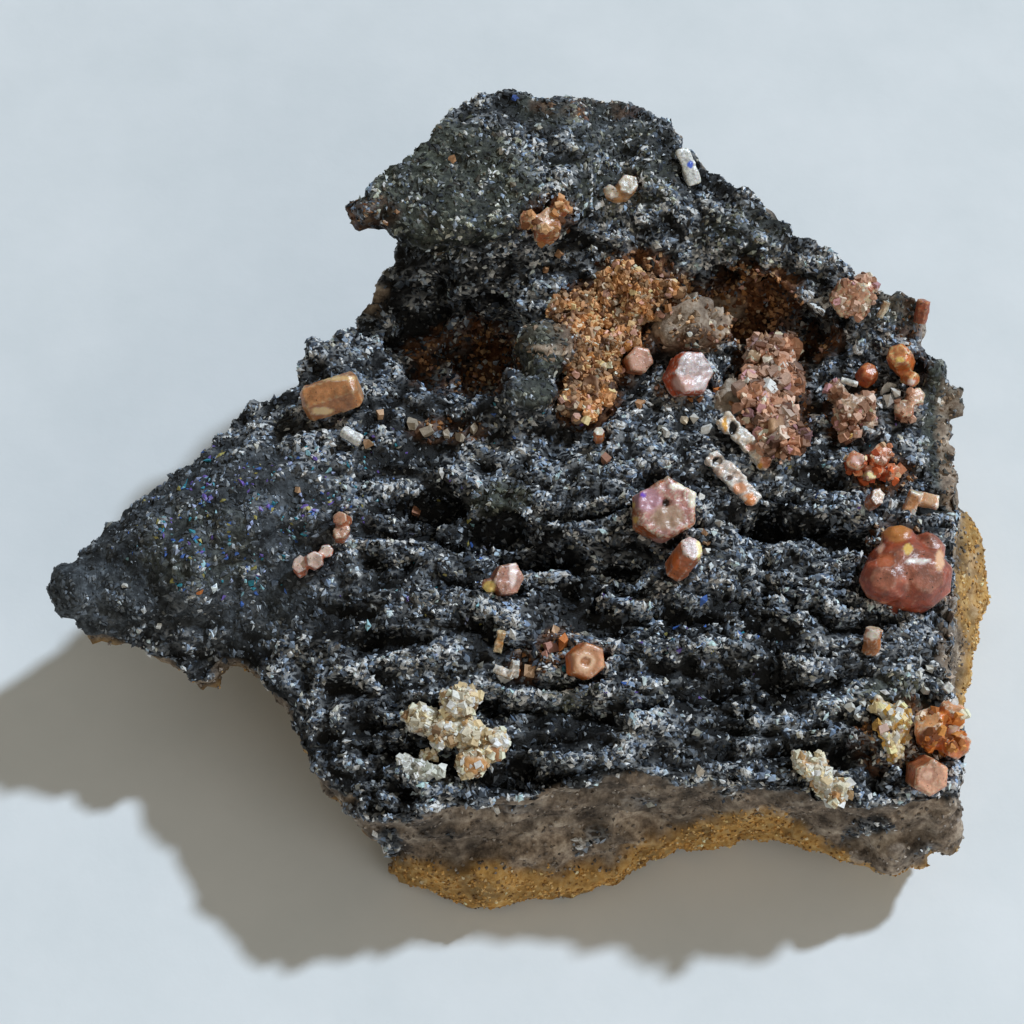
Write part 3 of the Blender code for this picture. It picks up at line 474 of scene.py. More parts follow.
def regions(co, normals):
    """Which finish the rock has at each point, as masks from 0 to 1, and where it shows."""
    across, down = pixels(co)
    ragged = lumps(co, 2.2, seed=21)
    rim_height, outside = rim_nearby(co)
    below_rim = rim_height - 1.0 - co[:, 2] + 1.1 * ragged
    outer = np.maximum(smoothstep(-1.2, -0.4, outside), co[:, 2] < 9)
    broken = smoothstep(0.0, 0.5, below_rim) * outer * (1 - smoothstep(0.72, 0.9, normals[:, 2]))
    pockets = spots(across, down, BLACK_POCKETS) * (normals @ EYEWARD > 0)
    broken *= 1 - np.clip(pockets * (1.1 + ragged), 0, 1)
    edge = np.interp(across, *np.array(OCHRE_EDGE).T)
    front = (normals[:, 1] < 0.3) & (normals[:, 2] > -0.5) & (across > 375) & (across < 850)
    ochre_front = smoothstep(-5, 5, down - edge + 9 * ragged) * front
    ochre_low = smoothstep(5.5, 4.0, co[:, 2] + 1.6 * ragged) * (co[:, 0] > 26)
    lip = ragged_spots(across, down, OCHRE_LIP, ragged, 0.8, least=0.1) * (normals[:, 1] > -0.6)
    ochre_below = smoothstep(-0.3, -0.7, normals[:, 2]) * smoothstep(-0.5, 0.3, ragged)
    ochre = broken * np.max([ochre_front, ochre_low, lip, ochre_below], axis=0)
    crusted = 1 - broken
    brown = ragged_spots(across, down, BROWN_PLACES, ragged, 0.5) * (co[:, 2] > 9.5) * crusted
    green = ragged_spots(across, down, GREEN_PLACES, ragged, 0.4) * crusted
    tan = ragged_spots(across, down, TAN_PLACES, ragged, 0.5) * (1 - green * (down < 350)) * crusted
    worn = spots(across, down, WORN_SMOOTH) * crusted
    masks = dict(zip(FINISHES, (broken, ochre, brown, green, tan, worn)))
    return {**masks, "across": across, "down": down}


# In millimetres: how far a crystal's hull swells to fill its socket, and how near and how far the
# rock's own points around it lie at each try.
SOCKET_SWELLING = 0.62
SOCKET_REACHES = ((0.6, 2.2), (0.5, 3.5), (0.3, 6.0))


def socket_fill(name, rock_points):
    """What fills the socket under a crystal, up to the surface of the rock around it."""
    bm = bmesh.new()
    bm.from_mesh(node_mesh(name))
    bmesh.ops.remove_doubles(bm, verts=bm.verts, dist=0.001)
    hull = bmesh.ops.convex_hull(bm, input=bm.verts)
    inside = [g for g in hull["geom_interior"] if isinstance(g, bmesh.types.BMVert)]
    bmesh.ops.delete(bm, geom=inside, context="VERTS")
    outer = set(hull["geom"])
    bmesh.ops.delete(bm, geom=[f for f in bm.faces if f not in outer], context="FACES_ONLY")
    bmesh.ops.recalc_face_normals(bm, faces=bm.faces)
    tree = BVHTree.FromBMesh(bm)
    bm.normal_update()
    for vert in bm.verts:
        vert.co += vert.normal * SOCKET_SWELLING
    for near, far in SOCKET_REACHES:
        around = []
        for point in rock_points:
            found = tree.find_nearest(point, far)
            if found[0] is not None and found[3] > near and (point - found[0]).dot(TO_EYE) > -1.6:
                around.append(tuple(point))
        if len(around) >= 6:
            break
    points = np.array(around)
    middle = points.mean(0)
    normal = Vector(np.linalg.svd(points - middle)[2][2].tolist())
    if normal.dot(TO_EYE) < 0:
        normal = -normal
    if normal.dot(TO_EYE) < 0.5:
        normal = TO_EYE.copy()
    cut = Vector(middle.tolist()) - 0.15 * normal
    whole = bm.verts[:] + bm.edges[:] + bm.faces[:]
    bmesh.ops.bisect_plane(bm, geom=whole, plane_co=cut, plane_no=normal, clear_outer=True)
    bmesh.ops.holes_fill(bm, edges=[e for e in bm.edges if e.is_boundary])
    return mesh_from(bm, name)


# The rock and the crusts that lie bare on it, which fill no socket.
BARE = ("barite_rock", "hollow_crust", "brown_column")

# Each set of ledges: its noise, its depth from front to back and its height in millimetres.
LEDGES = ((31, 4.1, 1.6), (32, 2.3, 1.3), (39, 1.3, 0.55))


def ledges(co, across, down):
    """How far each point of the open field rises or sinks: steps that run from east to west at
    uneven heights, with troughs between them."""
    wander = 0.16 * co[:, 0] + 2.2 * lumps(co * (0.4, 1, 0.2), 5.0, seed=31)
    rise = -1.3 * spots(across, down, TROUGHS)
    for seed, pitch, height in LEDGES:
        strays = wander + 1.1 * lumps(co * (0.4, 1, 0.2), 2.4, seed)
        step = 0.35 - np.mod((co[:, 1] + strays) / pitch, 1.0)
        strength = np.clip(0.5 + 2.2 * lumps(co * (0.5, 1, 0.2), 3.4, seed + 40), 0.0, 1.8)
        rise += height * step * strength
    return rise


def wall_relief(co, across, down, broken, ochre):
    """How far the broken walls stand out: beds, chunks and pits, and the ochre band's grain."""
    beds = lumps(co * (0.25, 0.25, 1), 0.9, seed=36)
    chunks = knobs(co * (0.7, 0.7, 1.2), 2.6, seed=37)
    stone = broken * (1 - ochre) * (0.3 * beds + 0.7 * (chunks - 0.4) - 0.32)
    sand = ochre * (0.2 * (knobs(co, 0.9, seed=38) - 0.4) + 0.25)
    return stone + sand - 0.9 * broken * spots(across, down, WALL_PITS)


# How fine the rock's skin is, in millimetres.
ROCK_VOXEL = 0.36


def rock():
    """The whole rock as one closed mesh, with its ledges, grain and broken walls."""
    base = node_mesh("barite_rock")
    points = [v.co.copy() for v in base.vertices]
    fills = [socket_fill(n, points) for n in sorted(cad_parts) if n not in BARE]
    obj = remeshed("rock", [base] + fills, ROCK_VOXEL, 3)
    co, normals = surface(obj.data)
    where = regions(co, normals)
    broken, ochre, brown, green, _, worn, across, down = where.values()
    crusted = 1 - broken
    upward = smoothstep(0.3, 0.75, normals[:, 2]) * crusted
    field = smoothstep(300, 380, across) * smoothstep(440, 500, down) * upward
    rise = ledges(co, across, down) * field
    co[:, 2] += rise

    knobbly = knobs(co * (0.8, 1, 1), 1.9, seed=33)
    grain = knobs(co, 0.95, seed=34)
    streaks = lumps(co * (0.4, 1, 1), 1.5, seed=42)
    rough = lumps(co, 1.5, seed=35)
    out = 0.75 * (knobbly - 0.62) * (1 - 0.6 * green) * (1 - 0.6 * worn) * crusted * (1 - 0.65 * field)
    out += 0.38 * (grain - 0.6) * crusted + 0.45 * streaks * field
    out += 0.34 * rough * (1 + 0.4 * brown - 0.5 * worn) - 0.05
    out += spots(across, down, SWELLINGS)
    out += spots(across, down, EDGE_SWELLINGS) * smoothstep(0.75, 0.35, normals @ EYEWARD)
    out -= spots(across, down, HEAD_BACK) * (normals[:, 2] < 0.8)
    lumpy = 1.5 * (knobs(co, 3.0, seed=43) - 0.5) + 0.9 * (knobs(co, 1.4, seed=44) - 0.5)
    out += spots(across, down, HOLLOWS) * crusted * lumpy
    out += wall_relief(co, across, down, broken, ochre)
    # Painted light and shade: the crest is how high each point stands among its knobs, ledges and
    # streaks. The crust's net and grains are painted paler on the crests and darker in the low places and
    # the blackest places.
    crest_shade = (1 - 0.5 * field) * (0.8 * (knobbly - 0.55) + 0.7 * (grain - 0.6))
    crest_shade += 0.75 * rise + 0.6 * streaks + 0.4 * rough - spots(across, down, BLACKEST_AND_SHADED)
    co += normals * out[:, None]
    co[:, 2] = np.maximum(co[:, 2], 0.0)
    set_coordinates(obj.data, co)
    for key in FINISHES:
        keep_values(obj.data, key, where[key])
    keep_values(obj.data, "Crest", smoothstep(-0.8, 0.55, crest_shade))
    return obj


# Materials

# How finely the noises are broken up.
SMOOTH = {"Detail": 3.0, "Roughness": 0.6}
SOFT = {"Detail": 4.0, "Roughness": 0.6}
ROUGH = {"Detail": 8.0, "Roughness": 0.72}


def sourced(tree, place, source, output="Color"):
    """A value or an output for a socket: from a hex colour, from what is stored on the mesh by
    name, from a function, or from a noise, given as the width of its grain in millimetres, how
    it is broken up and the stops of its ramp, if any. A material has each noise only once."""
    if callable(source):
        return source(tree, place)
    if isinstance(source, str) and source.startswith("#"):
        return linear(source)
    if isinstance(source, str):
        return add(tree, "ShaderNodeAttribute", attribute_name=source).outputs[output]
    if isinstance(source, tuple):
        grain, detail, stops = source
        key = f"noise {grain} {detail['Detail']}"
        inputs = {"Vector": place, "Scale": 1 / (grain * MM), **detail}
        made = tree.nodes.get(key) or add(tree, "ShaderNodeTexNoise", inputs, name=key)
        fine = made.outputs["Fac"]
        if not stops:
            return fine
        return add(tree, "ShaderNodeValToRGB", {"Fac": fine}, stops=stops).outputs["Color"]
    return source


def coated(tree, place, ground, coats):
    """A ground colour with coats laid over it in turn, each by its blend, share and colour."""
    colour = sourced(tree, place, ground)
    for blend, share, coat in coats:
        inputs = {0: sourced(tree, place, share, "Fac"), 6: colour, 7: sourced(tree, place, coat)}
        laid = add(tree, "ShaderNodeMix", inputs, data_type="RGBA", blend_type=blend)
        colour = laid.outputs[2]
    return colour


def new_finish(name, surface, ground, coats=(), grit=None, tooth=1.0):
    """A material from its surface values, its ground and coats, and its grit: the width of its
    grains and its relief in millimetres, how it is broken up, and how strong its tooth is."""
    made = bpy.data.materials.new(name)
    made.use_nodes = True
    tree = made.node_tree
    shader = tree.nodes["Principled BSDF"]
    for key, value in surface.items():
        shader.inputs[key].default_value = value
    place = add(tree, "ShaderNodeTexCoord").outputs["Object"]
    tree.links.new(coated(tree, place, ground, coats), shader.inputs["Base Color"])
    if grit:
        grain, relief, detail = grit
        height = sourced(tree, place, (grain, detail, ()))
        inputs = {"Height": height, "Distance": relief * MM, "Strength": tooth}
        add(tree, "ShaderNodeBump", inputs, {"Normal": shader.inputs["Normal"]})
    return made


def curled_net(tree, place):
    """A net of pale curled edges around black pits: the pale curls are painted glints on the druse's
    faces and the black pits are painted shade between them. The net shows where the crest is high and
    gives way to black in the low places, which is painted shade too. Its cells are half a millimetre deep
    and longer from east to west, coarser than the real druse so that they show at this size. Noise sways
    them into curls."""
    inputs = {"Vector": place, "Scale": 1 / (0.35 * MM), "Detail": 2.0}
    sway = add(tree, "ShaderNodeTexNoise", inputs).outputs["Color"]
    inputs = {0: sway, 1: (0.35 * MM,) * 3, 2: place}
    swayed = add(tree, "ShaderNodeVectorMath", inputs, operation="MULTIPLY_ADD").outputs["Vector"]
    inputs = {0: swayed, 1: (0.6, 1.1, 1.1)}
    drawn_out = add(tree, "ShaderNodeVectorMath", inputs, operation="MULTIPLY").outputs["Vector"]
    inputs = {"Vector": drawn_out, "Scale": 1 / (0.5 * MM)}
    net = add(tree, "ShaderNodeTexVoronoi", inputs, feature="DISTANCE_TO_EDGE")
    curls = add(
        tree, "ShaderNodeValToRGB", {"Fac": net.outputs["Distance"]},
        stops=((0.0, "#f2f4f6"), (0.13, "#adb5c0"), (0.22, "#3a404a"), (0.36, "#0b0c0f")),
    )
    return coated(tree, place, "#07080a", (("MIX", "Crest", curls.outputs["Color"]),))


def stained_stone(tree, place):
    """Grey-brown stone, darker in patches."""
    patches = (1.7, ROUGH, ((0.38, "#665c53"), (0.5, "#c4bab0"), (0.64, "#fffaf2")))
    stone = (0.5, SOFT, ((0.25, "#8a7f75"), (0.5, "#c4b6a8"), (0.75, "#eadfd2")))
    return coated(tree, place, stone, (("MULTIPLY", 1.0, patches),))


def rock_finish():
    """Barite rock under a skin of black manganese and iron oxide. Its top is a curled net of painted
    glints and painted shade, slate grey where worn smooth and greenish grey on the head, the hollows are
    lined with brown iron oxide, and the broken walls are dull grey-brown stone over a sandy ochre bed."""
    return new_finish(
        "black oxide crust on barite", {"Roughness": 0.6, "Specular IOR Level": 0.25}, curled_net,
        (
            ("MIX", "Smooth", (0.5, SOFT, ((0.3, "#23272c"), (0.5, "#43494f"), (0.7, "#767e86")))),
            ("MIX", "Green", (0.5, SOFT, ((0.3, "#23261f"), (0.5, "#4b5047"), (0.7, "#7c8073")))),
            ("MIX", "Brown", (0.5, SOFT, ((0.28, "#2a1a10"), (0.5, "#7a4a2a"), (0.7, "#b98a63")))),
            ("MIX", "Tan", (0.5, SOFT, ((0.28, "#7e6856"), (0.5, "#c6ae98"), (0.72, "#ecdcca")))),
            ("MIX", "Broken", stained_stone),
            ("MIX", "Ochre", (0.5, SOFT, ((0.25, "#a97a3c"), (0.5, "#d6a55c"), (0.75, "#ecca8e")))),
            ("MULTIPLY", 1.0, (3.0, SMOOTH, ((0.35, "#a8a8a8"), (0.65, "#ffffff")))),
        ),
        (0.18, 0.09, SOFT),
    )


def grain_finish():
    """The drusy skin of the crust: tiny fresh crystal faces, each with its own tarnish, that glint one by
    one. Their stored colours also carry painted light: paler on crests, darker in low places, and pale
    grains for glints."""
    return new_finish(
        "tarnished drusy crust", {"Roughness": 0.38, "Specular IOR Level": 0.4}, "Tint",
        (("MULTIPLY", 1.0, (0.2, SOFT, ((0.3, "#b0b0b0"), (0.7, "#ffffff")))),),
    )


def crumb_finish():
    """Dull grains of iron-stained barite and sand: matt, with no glint."""
    return new_finish(
        "crumbly stained barite", {"Roughness": 0.6, "IOR": 1.5}, "Tint",
        (("MULTIPLY", 1.0, (0.25, SOFT, ((0.3, "#d8d8d8"), (0.7, "#ffffff")))),),
        (0.15, 0.04, SOFT),
    )


def vanadinite_finish(name, side, end, rim):
    """Vanadinite, a resinous lead mineral: sides deep and a little clear, ends paler and
    frosted, edges thin and bright, with specks of dirt in the pits."""
    return new_finish(
        name,
        {
            "Roughness": 0.3, "IOR": 1.75, "Subsurface Weight": 0.25,
            "Subsurface Radius": (1.0, 0.35, 0.15), "Subsurface Scale": 0.5 * MM,
        },
        side,
        (
            ("MIX", "End", end), ("MIX", "Edge", rim),
            ("MULTIPLY", 1.0, (0.8, SMOOTH, ((0.3, "#a8a8a8"), (0.7, "#ffffff")))),
            ("MIX", (0.22, SOFT, ((0.65, "#000000"), (0.651, "#ffffff"))), "#4a2616"),
            ("MIX", "Marked", "Mark"),
        ),
        (0.22, 0.05, SOFT),
    )


def barite_finish(name, pale, stain, shine):
    """Late barite on the crust: crumbly plates, white where fresh and stained where old."""
    return new_finish(
        name,
        {
            "Roughness": shine, "IOR": 1.64, "Subsurface Weight": 0.2,
            "Subsurface Radius": (1.0, 0.7, 0.45), "Subsurface Scale": 0.4 * MM,
        },
        (0.7, SMOOTH, ((0.35, stain), (0.6, pale))),
        (
            ("MULTIPLY", 1.0, (0.25, SOFT, ((0.3, "#a0a0a0"), (0.65, "#ffffff")))),
            ("MIX", "Edge", "#f4f0e6"), ("MIX", "Marked", "Mark"),
        ),
        (0.2, 0.05, SOFT),
    )


def paper_finish():
    """Smooth white paper, faintly cool, with a slight tooth."""
    pulp = (9.0, SMOOTH, ((0.3, "#dfe4e8"), (0.7, "#e6eaee")))
    return new_finish("white paper", {"Roughness": 0.8}, pulp, (), (0.9, 0.03, SMOOTH), 0.5)


# The crust's grains

# The grains are real shapes, coarser and fewer than the real druse so that they show at this
# size. Each palette is its colours and their shares.
# The black crust's paler greys and near-whites are painted glints: they stand in for light on the faces
# of black grains.
BLACK_AND_GLINT_GRAINS = (
    ("#13161c", 18), ("#323944", 16), ("#687484", 22), ("#9ba7b7", 22), ("#ced6df", 14),
    ("#f0f3f5", 6), ("#3a3632", 4), ("#9a988e", 6), ("#566478", 8),
)
GREEN_GRAINS = (
    ("#2b2e28", 18), ("#5a5e52", 26), ("#8c8f80", 24), ("#b6b7a6", 14), ("#dcdacb", 5), ("#5a5040", 8),
)
BROWN_GRAINS = (
    ("#3c2414", 24), ("#6e4223", 26), ("#98683f", 20), ("#c29a72", 10), ("#e2c4a4", 3), ("#2a2019", 12),
)
TAN_GRAINS = (("#a08872", 30), ("#bea58e", 26), ("#dcc8b2", 12), ("#6a5644", 8))
TARNISHED_GRAINS = (
    ("#3f9ab0", 5), ("#4f78cc", 6), ("#7c66bc", 4), ("#b3aa64", 3), ("#9fd0dc", 5), ("#b4c0ec", 6),
)
# Where the crust is tarnished in blue, teal, violet and gold.
TARNISH = (
    (225, 505, 60, 40, 0.7), (180, 515, 30, 30, 0.5), (310, 520, 50, 40, 0.5),
    (230, 520, 120, 80, 0.3), (345, 480, 50, 60, 0.25), (240, 575, 50, 30, 0.5),
    (500, 440, 120, 40, 0.06), (650, 640, 140, 60, 0.05), (820, 460, 90, 60, 0.05),
    (430, 560, 110, 90, 0.06), (515, 100, 30, 16, 0.2),
)

# Each layer of the crust's grains: its name, how many there are and the longest in millimetres.
CRUST_LAYERS = (("fine", 20000, 0.5), ("middling", 19000, 0.66), ("coarse", 9000, 0.88))


def crust_grains(rng, rock_mesh, layer, count, longest, finish):
    """One layer of drusy grains over the crusted top of the rock."""
    broken, brown, tan, crest_shade = (stored(rock_mesh, k) for k in ("Broken", "Brown", "Tan", "Crest"))
    density = (1 - np.clip(broken * 1.3, 0, 1)) * (1 - 0.35 * brown) * (0.4 + crest_shade) + 1e-5
    density *= (1 - 0.85 * tan) * smoothstep(-0.6, 0.1, surface(rock_mesh)[1][:, 2])
    places, up, height = sprinkle(rng, rock_mesh, count, density, crest_shade)
    where = regions(places, up)
    tints = picked(rng, count, BLACK_AND_GLINT_GRAINS)
    net = smoothstep(0.05, 0.6, knobs(places * (0.6, 1.2, 1.2), 0.75, seed=45))
    # Painted light and shade: each grain is made paler the higher it sits by the crest, up to several
    # times, and darker in the low places and creases. A net pattern darkens some more.
    tints[:, :3] *= ((0.36 + 6.6 * height) * (0.12 + net))[:, None]
    green = recolour(rng, tints, where["Green"] * 0.85, GREEN_GRAINS)
    brown = recolour(rng, tints, where["Brown"] * 0.9, BROWN_GRAINS)
    # The greenish grains get the same painted light and shade.
    tints[green, :3] *= ((0.7 + 2.2 * height) * (0.25 + 0.9 * net))[green, None]
    tints[:, :3] += where["Smooth"][:, None] * (np.array(linear("#565c63")[:3]) - tints[:, :3])
    tarnish = spots(where["across"], where["down"], TARNISH) * (up[:, 2] > 0.1) * ~brown
    tarnish *= smoothstep(-0.2, 0.5, lumps(places, 1.6, seed=41))
    recolour(rng, tints, tarnish, TARNISHED_GRAINS)
    recolour(rng, tints, where["Tan"], TAN_GRAINS)
    length = longest * rng.uniform(0.45, 1.0, count) ** 1.2
    sizes = np.stack([length, length * rng.uniform(0.4, 0.8, count), length * 0.45], axis=1)
    mesh = scatter(rng, GRAIN, places, up, sizes, 0.38, np.zeros(count), 0.3)
    tints = np.clip(tints, 0, 0.95)
    hand_over_scattered(mesh, GRAIN, tints, "crust_grains_" + layer, finish)


STONE_GRAINS = (("#766b61", 30), ("#90847a", 26), ("#a89c90", 12), ("#c8beb4", 3), ("#5c534a", 14))
OCHRE_GRAINS = (("#b98843", 24), ("#d8a75c", 30), ("#ecc788", 16), ("#f8e6be", 3), ("#8a6636", 10))
WALL_GRAINS = 8000


def wall_grains(rng, rock_mesh, finish):
    """Sand-like grains on the broken walls and the underside."""
    co, normals = surface(rock_mesh)
    broken, ochre = stored(rock_mesh, "Broken"), stored(rock_mesh, "Ochre")
    density = broken * (0.3 + 0.9 * ochre) * (co[:, 2] > 0.5) * smoothstep(-0.98, -0.5, normals[:, 2])
    places, up = sprinkle(rng, rock_mesh, WALL_GRAINS, density + 1e-6)
    tints = picked(rng, WALL_GRAINS, STONE_GRAINS)
    recolour(rng, tints, 2 * regions(places, up)["Ochre"], OCHRE_GRAINS)
    sizes = rng.uniform(0.2, 0.42, WALL_GRAINS)[:, None] * (1, 0.85, 0.7)
    mesh = scatter(rng, GRAIN, places, up, sizes, 0.6, np.full(WALL_GRAINS, 0.02), 0.25)
    hand_over_scattered(mesh, GRAIN, tints, "wall_grains", finish)


# The crystals

# Each vanadinite piece: which way its ends face as the camera sees it (right, up, towards), how
# fine it is worked in millimetres, how pitted it is, and its sides', ends' and edges' colours.
VANADINITE = {
    "lying_prism": ((0.95, 0.3, 0.1), 0.10, 0.3, "#d08c58", "#e8a874", "#ecca9c"),
    "wing_crystals_upper": ((0.1, 0.3, 0.95), 0.08, 0.4, "#d0744a", "#ecb092", "#f2e4cc"),
    "wing_crystals_lower": ((0.0, 0.4, 0.9), 0.08, 0.4, "#e08462", "#f2d4c4", "#f4f0ee"),
    "leaning_plate": ((0.3, 0.15, 0.9), 0.09, 0.6, "#b0643e", "#c48a76", "#e6c6b0"),
    "banded_hexagon": ((0.3, 0.1, 0.95), 0.08, 0.3, "#e07a3a", "#f0aa80", "#f2dab4"),
    "pitted_hexagon": ((0.16, 0.14, 0.97), 0.11, 1.0, "#cc6a36", "#d8948a", "#f4e8d2"),
    "standing_prism": ((0.3, 0.5, 0.8), 0.09, 0.4, "#d87c4a", "#eccac4", "#f2f0e4"),
    "ragged_plate": ((0.42, 0.2, 0.9), 0.10, 0.8, "#e2602e", "#f4dcda", "#fffcfa"),
    "small_hexagon": ((0.25, 0.1, 0.95), 0.09, 0.4, "#d47c50", "#e8ac94", "#f2e2cc"),
    "tiny_prism": ((0, 0.6, 0.8), 0.07, 0.3, "#f09250", "#f4f0dc", "#f4f2ee"),
    "head_crystals": ((0.1, 0.4, 0.9), 0.10, 0.7, "#cc7444", "#f2b890", "#f4ecc8"),
    "shoulder_crystals": ((0.2, 0.3, 0.9), 0.09, 0.7, "#f0b070", "#f2e6d0", "#f6f2ea"),
    "ridge_crystals": ((-0.1, -0.2, 0.95), 0.12, 0.9, "#bc6840", "#e4a480", "#f2e6c2"),
    "corner_crystals": ((0.15, 0.9, 0.3), 0.09, 0.5, "#b05228", "#b86842", "#dc9c6c"),
    "orange_bead": ((0.2, 0.5, 0.8), 0.09, 0.4, "#c85c2a", "#d87a48", "#f0a86c"),
    "orange_hexagon": ((-0.3, 0.35, 0.85), 0.09, 0.5, "#e07838", "#f09c60", "#f2e0a0"),
    "brown_pair": ((0.1, 0.3, 0.9), 0.09, 0.7, "#de8862", "#f2bc9c", "#f4eecc"),
    "red_crystals": ((0.1, 0.2, 0.9), 0.10, 0.7, "#d2602e", "#e48a5c", "#f4d8b8"),
    "tan_chip": ((0.3, 0.4, 0.85), 0.08, 0.6, "#d48050", "#f2d0b4", "#f6f2ee"),
    "tan_slabs": ((0.5, 0.5, 0.5), 0.09, 0.6, "#f0ac70", "#f2e4c4", "#f6f0e8"),
    "gold_chip": ((0.1, 0.9, 0.35), 0.08, 0.7, "#cc7c3c", "#f0cfae", "#faf0e4"),
    "corner_mass": ((0.1, 0.4, 0.8), 0.11, 0.7, "#ee8438", "#eeac74", "#f8ecd4"),
    "brown_hexagon": ((0.2, -0.1, 0.95), 0.09, 0.5, "#d67c50", "#f0b08e", "#f2d8b2"),
    "red_ball": ((0.0, 0.3, 0.95), 0.13, 0.3, "#b04e2e", "#b87058", "#e0a084"),
}

# Marks on the pieces: pixel, half width, half height, how deep in millimetres, and the colour. Most are
# the pieces' own colours; some are painted highlights and painted shade, told at their pieces.
MARKS_AND_PAINTED_LIGHT = {
    "pitted_hexagon": (
        # The near-black dent at 666, 503 is painted shade in a pit; the cream rim at the upper right and
        # the two gold spots at the left are painted highlights.
        (648, 500, 15, 13, 0, "#bd8c98"), (668, 517, 17, 14, 0.05, "#b0907a"),
        (666, 503, 4, 4, 0.4, "#2a1a14"), (693, 497, 5, 12, 0, "#f8eedb"),
        (680, 486, 12, 4, 0, "#f8eedb"), (643, 495, 3, 3, 0, "#7a4ad0"),
        (633, 505, 3, 4, 0, "#f2ce6c"), (635, 520, 3, 4, 0, "#eac060"), (661, 542, 18, 4, 0, "#e2a8a0"),
    ),
    "leaning_plate": ((513, 573, 4, 14, 0, "#f4dcd6"), (489, 588, 7, 7, 0, "#f2d27a")),
    "banded_hexagon": (
        (585, 662, 15, 15, 0.06, "#b98058"), (585, 662, 10, 10, -0.06, "#dfb492"),
        (585, 662, 5, 5, 0.15, "#a8683c"), (568, 668, 4, 12, 0, "#d9742c"),
    ),
    # Both pale marks on the lying prism are painted highlights: a glint on its lower face and light along
    # its top edge.
    "lying_prism": ((322, 411, 12, 4, 0, "#f4d6a4"), (334, 378, 24, 3, 0, "#e9c48c")),
    # The cream-yellow mark on the standing prism's right edge is a painted highlight.
    "standing_prism": ((699, 549, 3, 12, 0, "#f6e0a0"), (676, 562, 4, 10, 0, "#d9702c")),
    "ragged_plate": ((661, 376, 4, 12, 0, "#c45c34"), (683, 383, 12, 9, 0, "#dcb4ac")),
    "bright_blade": ((690, 165, 3, 4, 0, "#4a6ad0"),),
    # The yellow mark at 900, 360 is a painted glint.
    "orange_hexagon": ((900, 360, 5, 3, 0, "#f6d478"), (911, 382, 4, 4, 0, "#f4e0da")),
    # Both yellow marks on the head crystals are painted glints.
    "head_crystals": ((545, 205, 4, 3, 0, "#f6d478"), (530, 226, 3, 3, 0, "#f2c868")),
    # Both pale marks on the ridge crystals are painted glints.
    "ridge_crystals": ((868, 283, 4, 4, 0, "#f6e8c8"), (868, 300, 4, 4, 0, "#f6e8c8")),
    "rosette": ((848, 435, 5, 4, 0, "#e8b850"), (868, 413, 6, 5, 0, "#94946a")),
    "red_ball": (
        # The thin white mark at 918, 561 is a painted glint.
        (897, 530, 15, 13, 0, "#c07a3c"), (918, 561, 13, 3, 0.1, "#fbf3ef"),
        (908, 549, 5, 6, 0, "#ecc46c"), (886, 560, 10, 8, 0.15, "#b4603c"),
        (880, 545, 4, 10, 0, "#e8b49c"), (940, 560, 5, 12, 0, "#e6b48c"),
    ),
    "corner_mass": (
        (945, 715, 6, 6, 0, "#dd7a2e"), (955, 750, 6, 7, 0, "#dd7a2e"),
        (955, 731, 6, 5, 0, "#f4e0da"), (927, 737, 8, 9, 0, "#8a4c24"),
    ),
    "gold_crumbs": (
        (897, 710, 14, 6, 0, "#f8f3e6"), (901, 726, 8, 8, 0, "#e4ae58"),
        (888, 755, 7, 11, 0, "#dc8e40"), (878, 740, 5, 5, 0, "#f8ece6"), (890, 731, 3, 3, 0.2, "#4a3040"),
    ),
    "cream_mass": ((470, 766, 22, 10, 0, "#c8925a"), (497, 755, 8, 10, 0, "#b07a4c")),
    "cream_shelf": ((835, 797, 12, 6, 0, "#cc9862"),),
    "skeletal_plate_upper": (
        # The near-black dent stands for a hole through the plate: the dark crust seen through it, in
        # painted shade.
        (733, 428, 4, 7, 0.5, "#0e0b0a"), (725, 425, 3, 8, 0, "#f0b45c"),
        (751, 447, 6, 4, 0.1, "#d89a80"), (766, 462, 7, 7, 0, "#dc9878"), (760, 466, 3, 3, 0, "#e8a848"),
    ),
    "skeletal_plate_lower": (
        # The near-black dent stands for a hole through the plate: the dark crust seen through it, in
        # painted shade.
        (717, 461, 5, 4, 0.5, "#0e0b0a"), (729, 478, 4, 3, 0.15, "#6a544c"),
        (740, 488, 8, 6, 0, "#e4a884"), (749, 500, 8, 7, 0, "#e0925c"), (744, 499, 3, 3, 0, "#f4e4d4"),
    ),
    "red_crystals": ((871, 475, 10, 3, 0, "#f8e6b2"), (858, 460, 8, 5, 0, "#e8bcb0")),
    "tan_slabs": ((914, 514, 3, 6, 0, "#e6e4e0"), (930, 498, 5, 8, 0, "#d8ae88")),
    "brown_hexagon": ((927, 776, 9, 9, 0.05, "#bd866c"), (927, 776, 5, 5, -0.05, "#dcae94")),
    "small_hexagon": ((636, 362, 8, 8, 0, "#cfa08c"),),
    "gold_chip": ((872, 635, 7, 5, 0, "#f8f0e6"),),
}

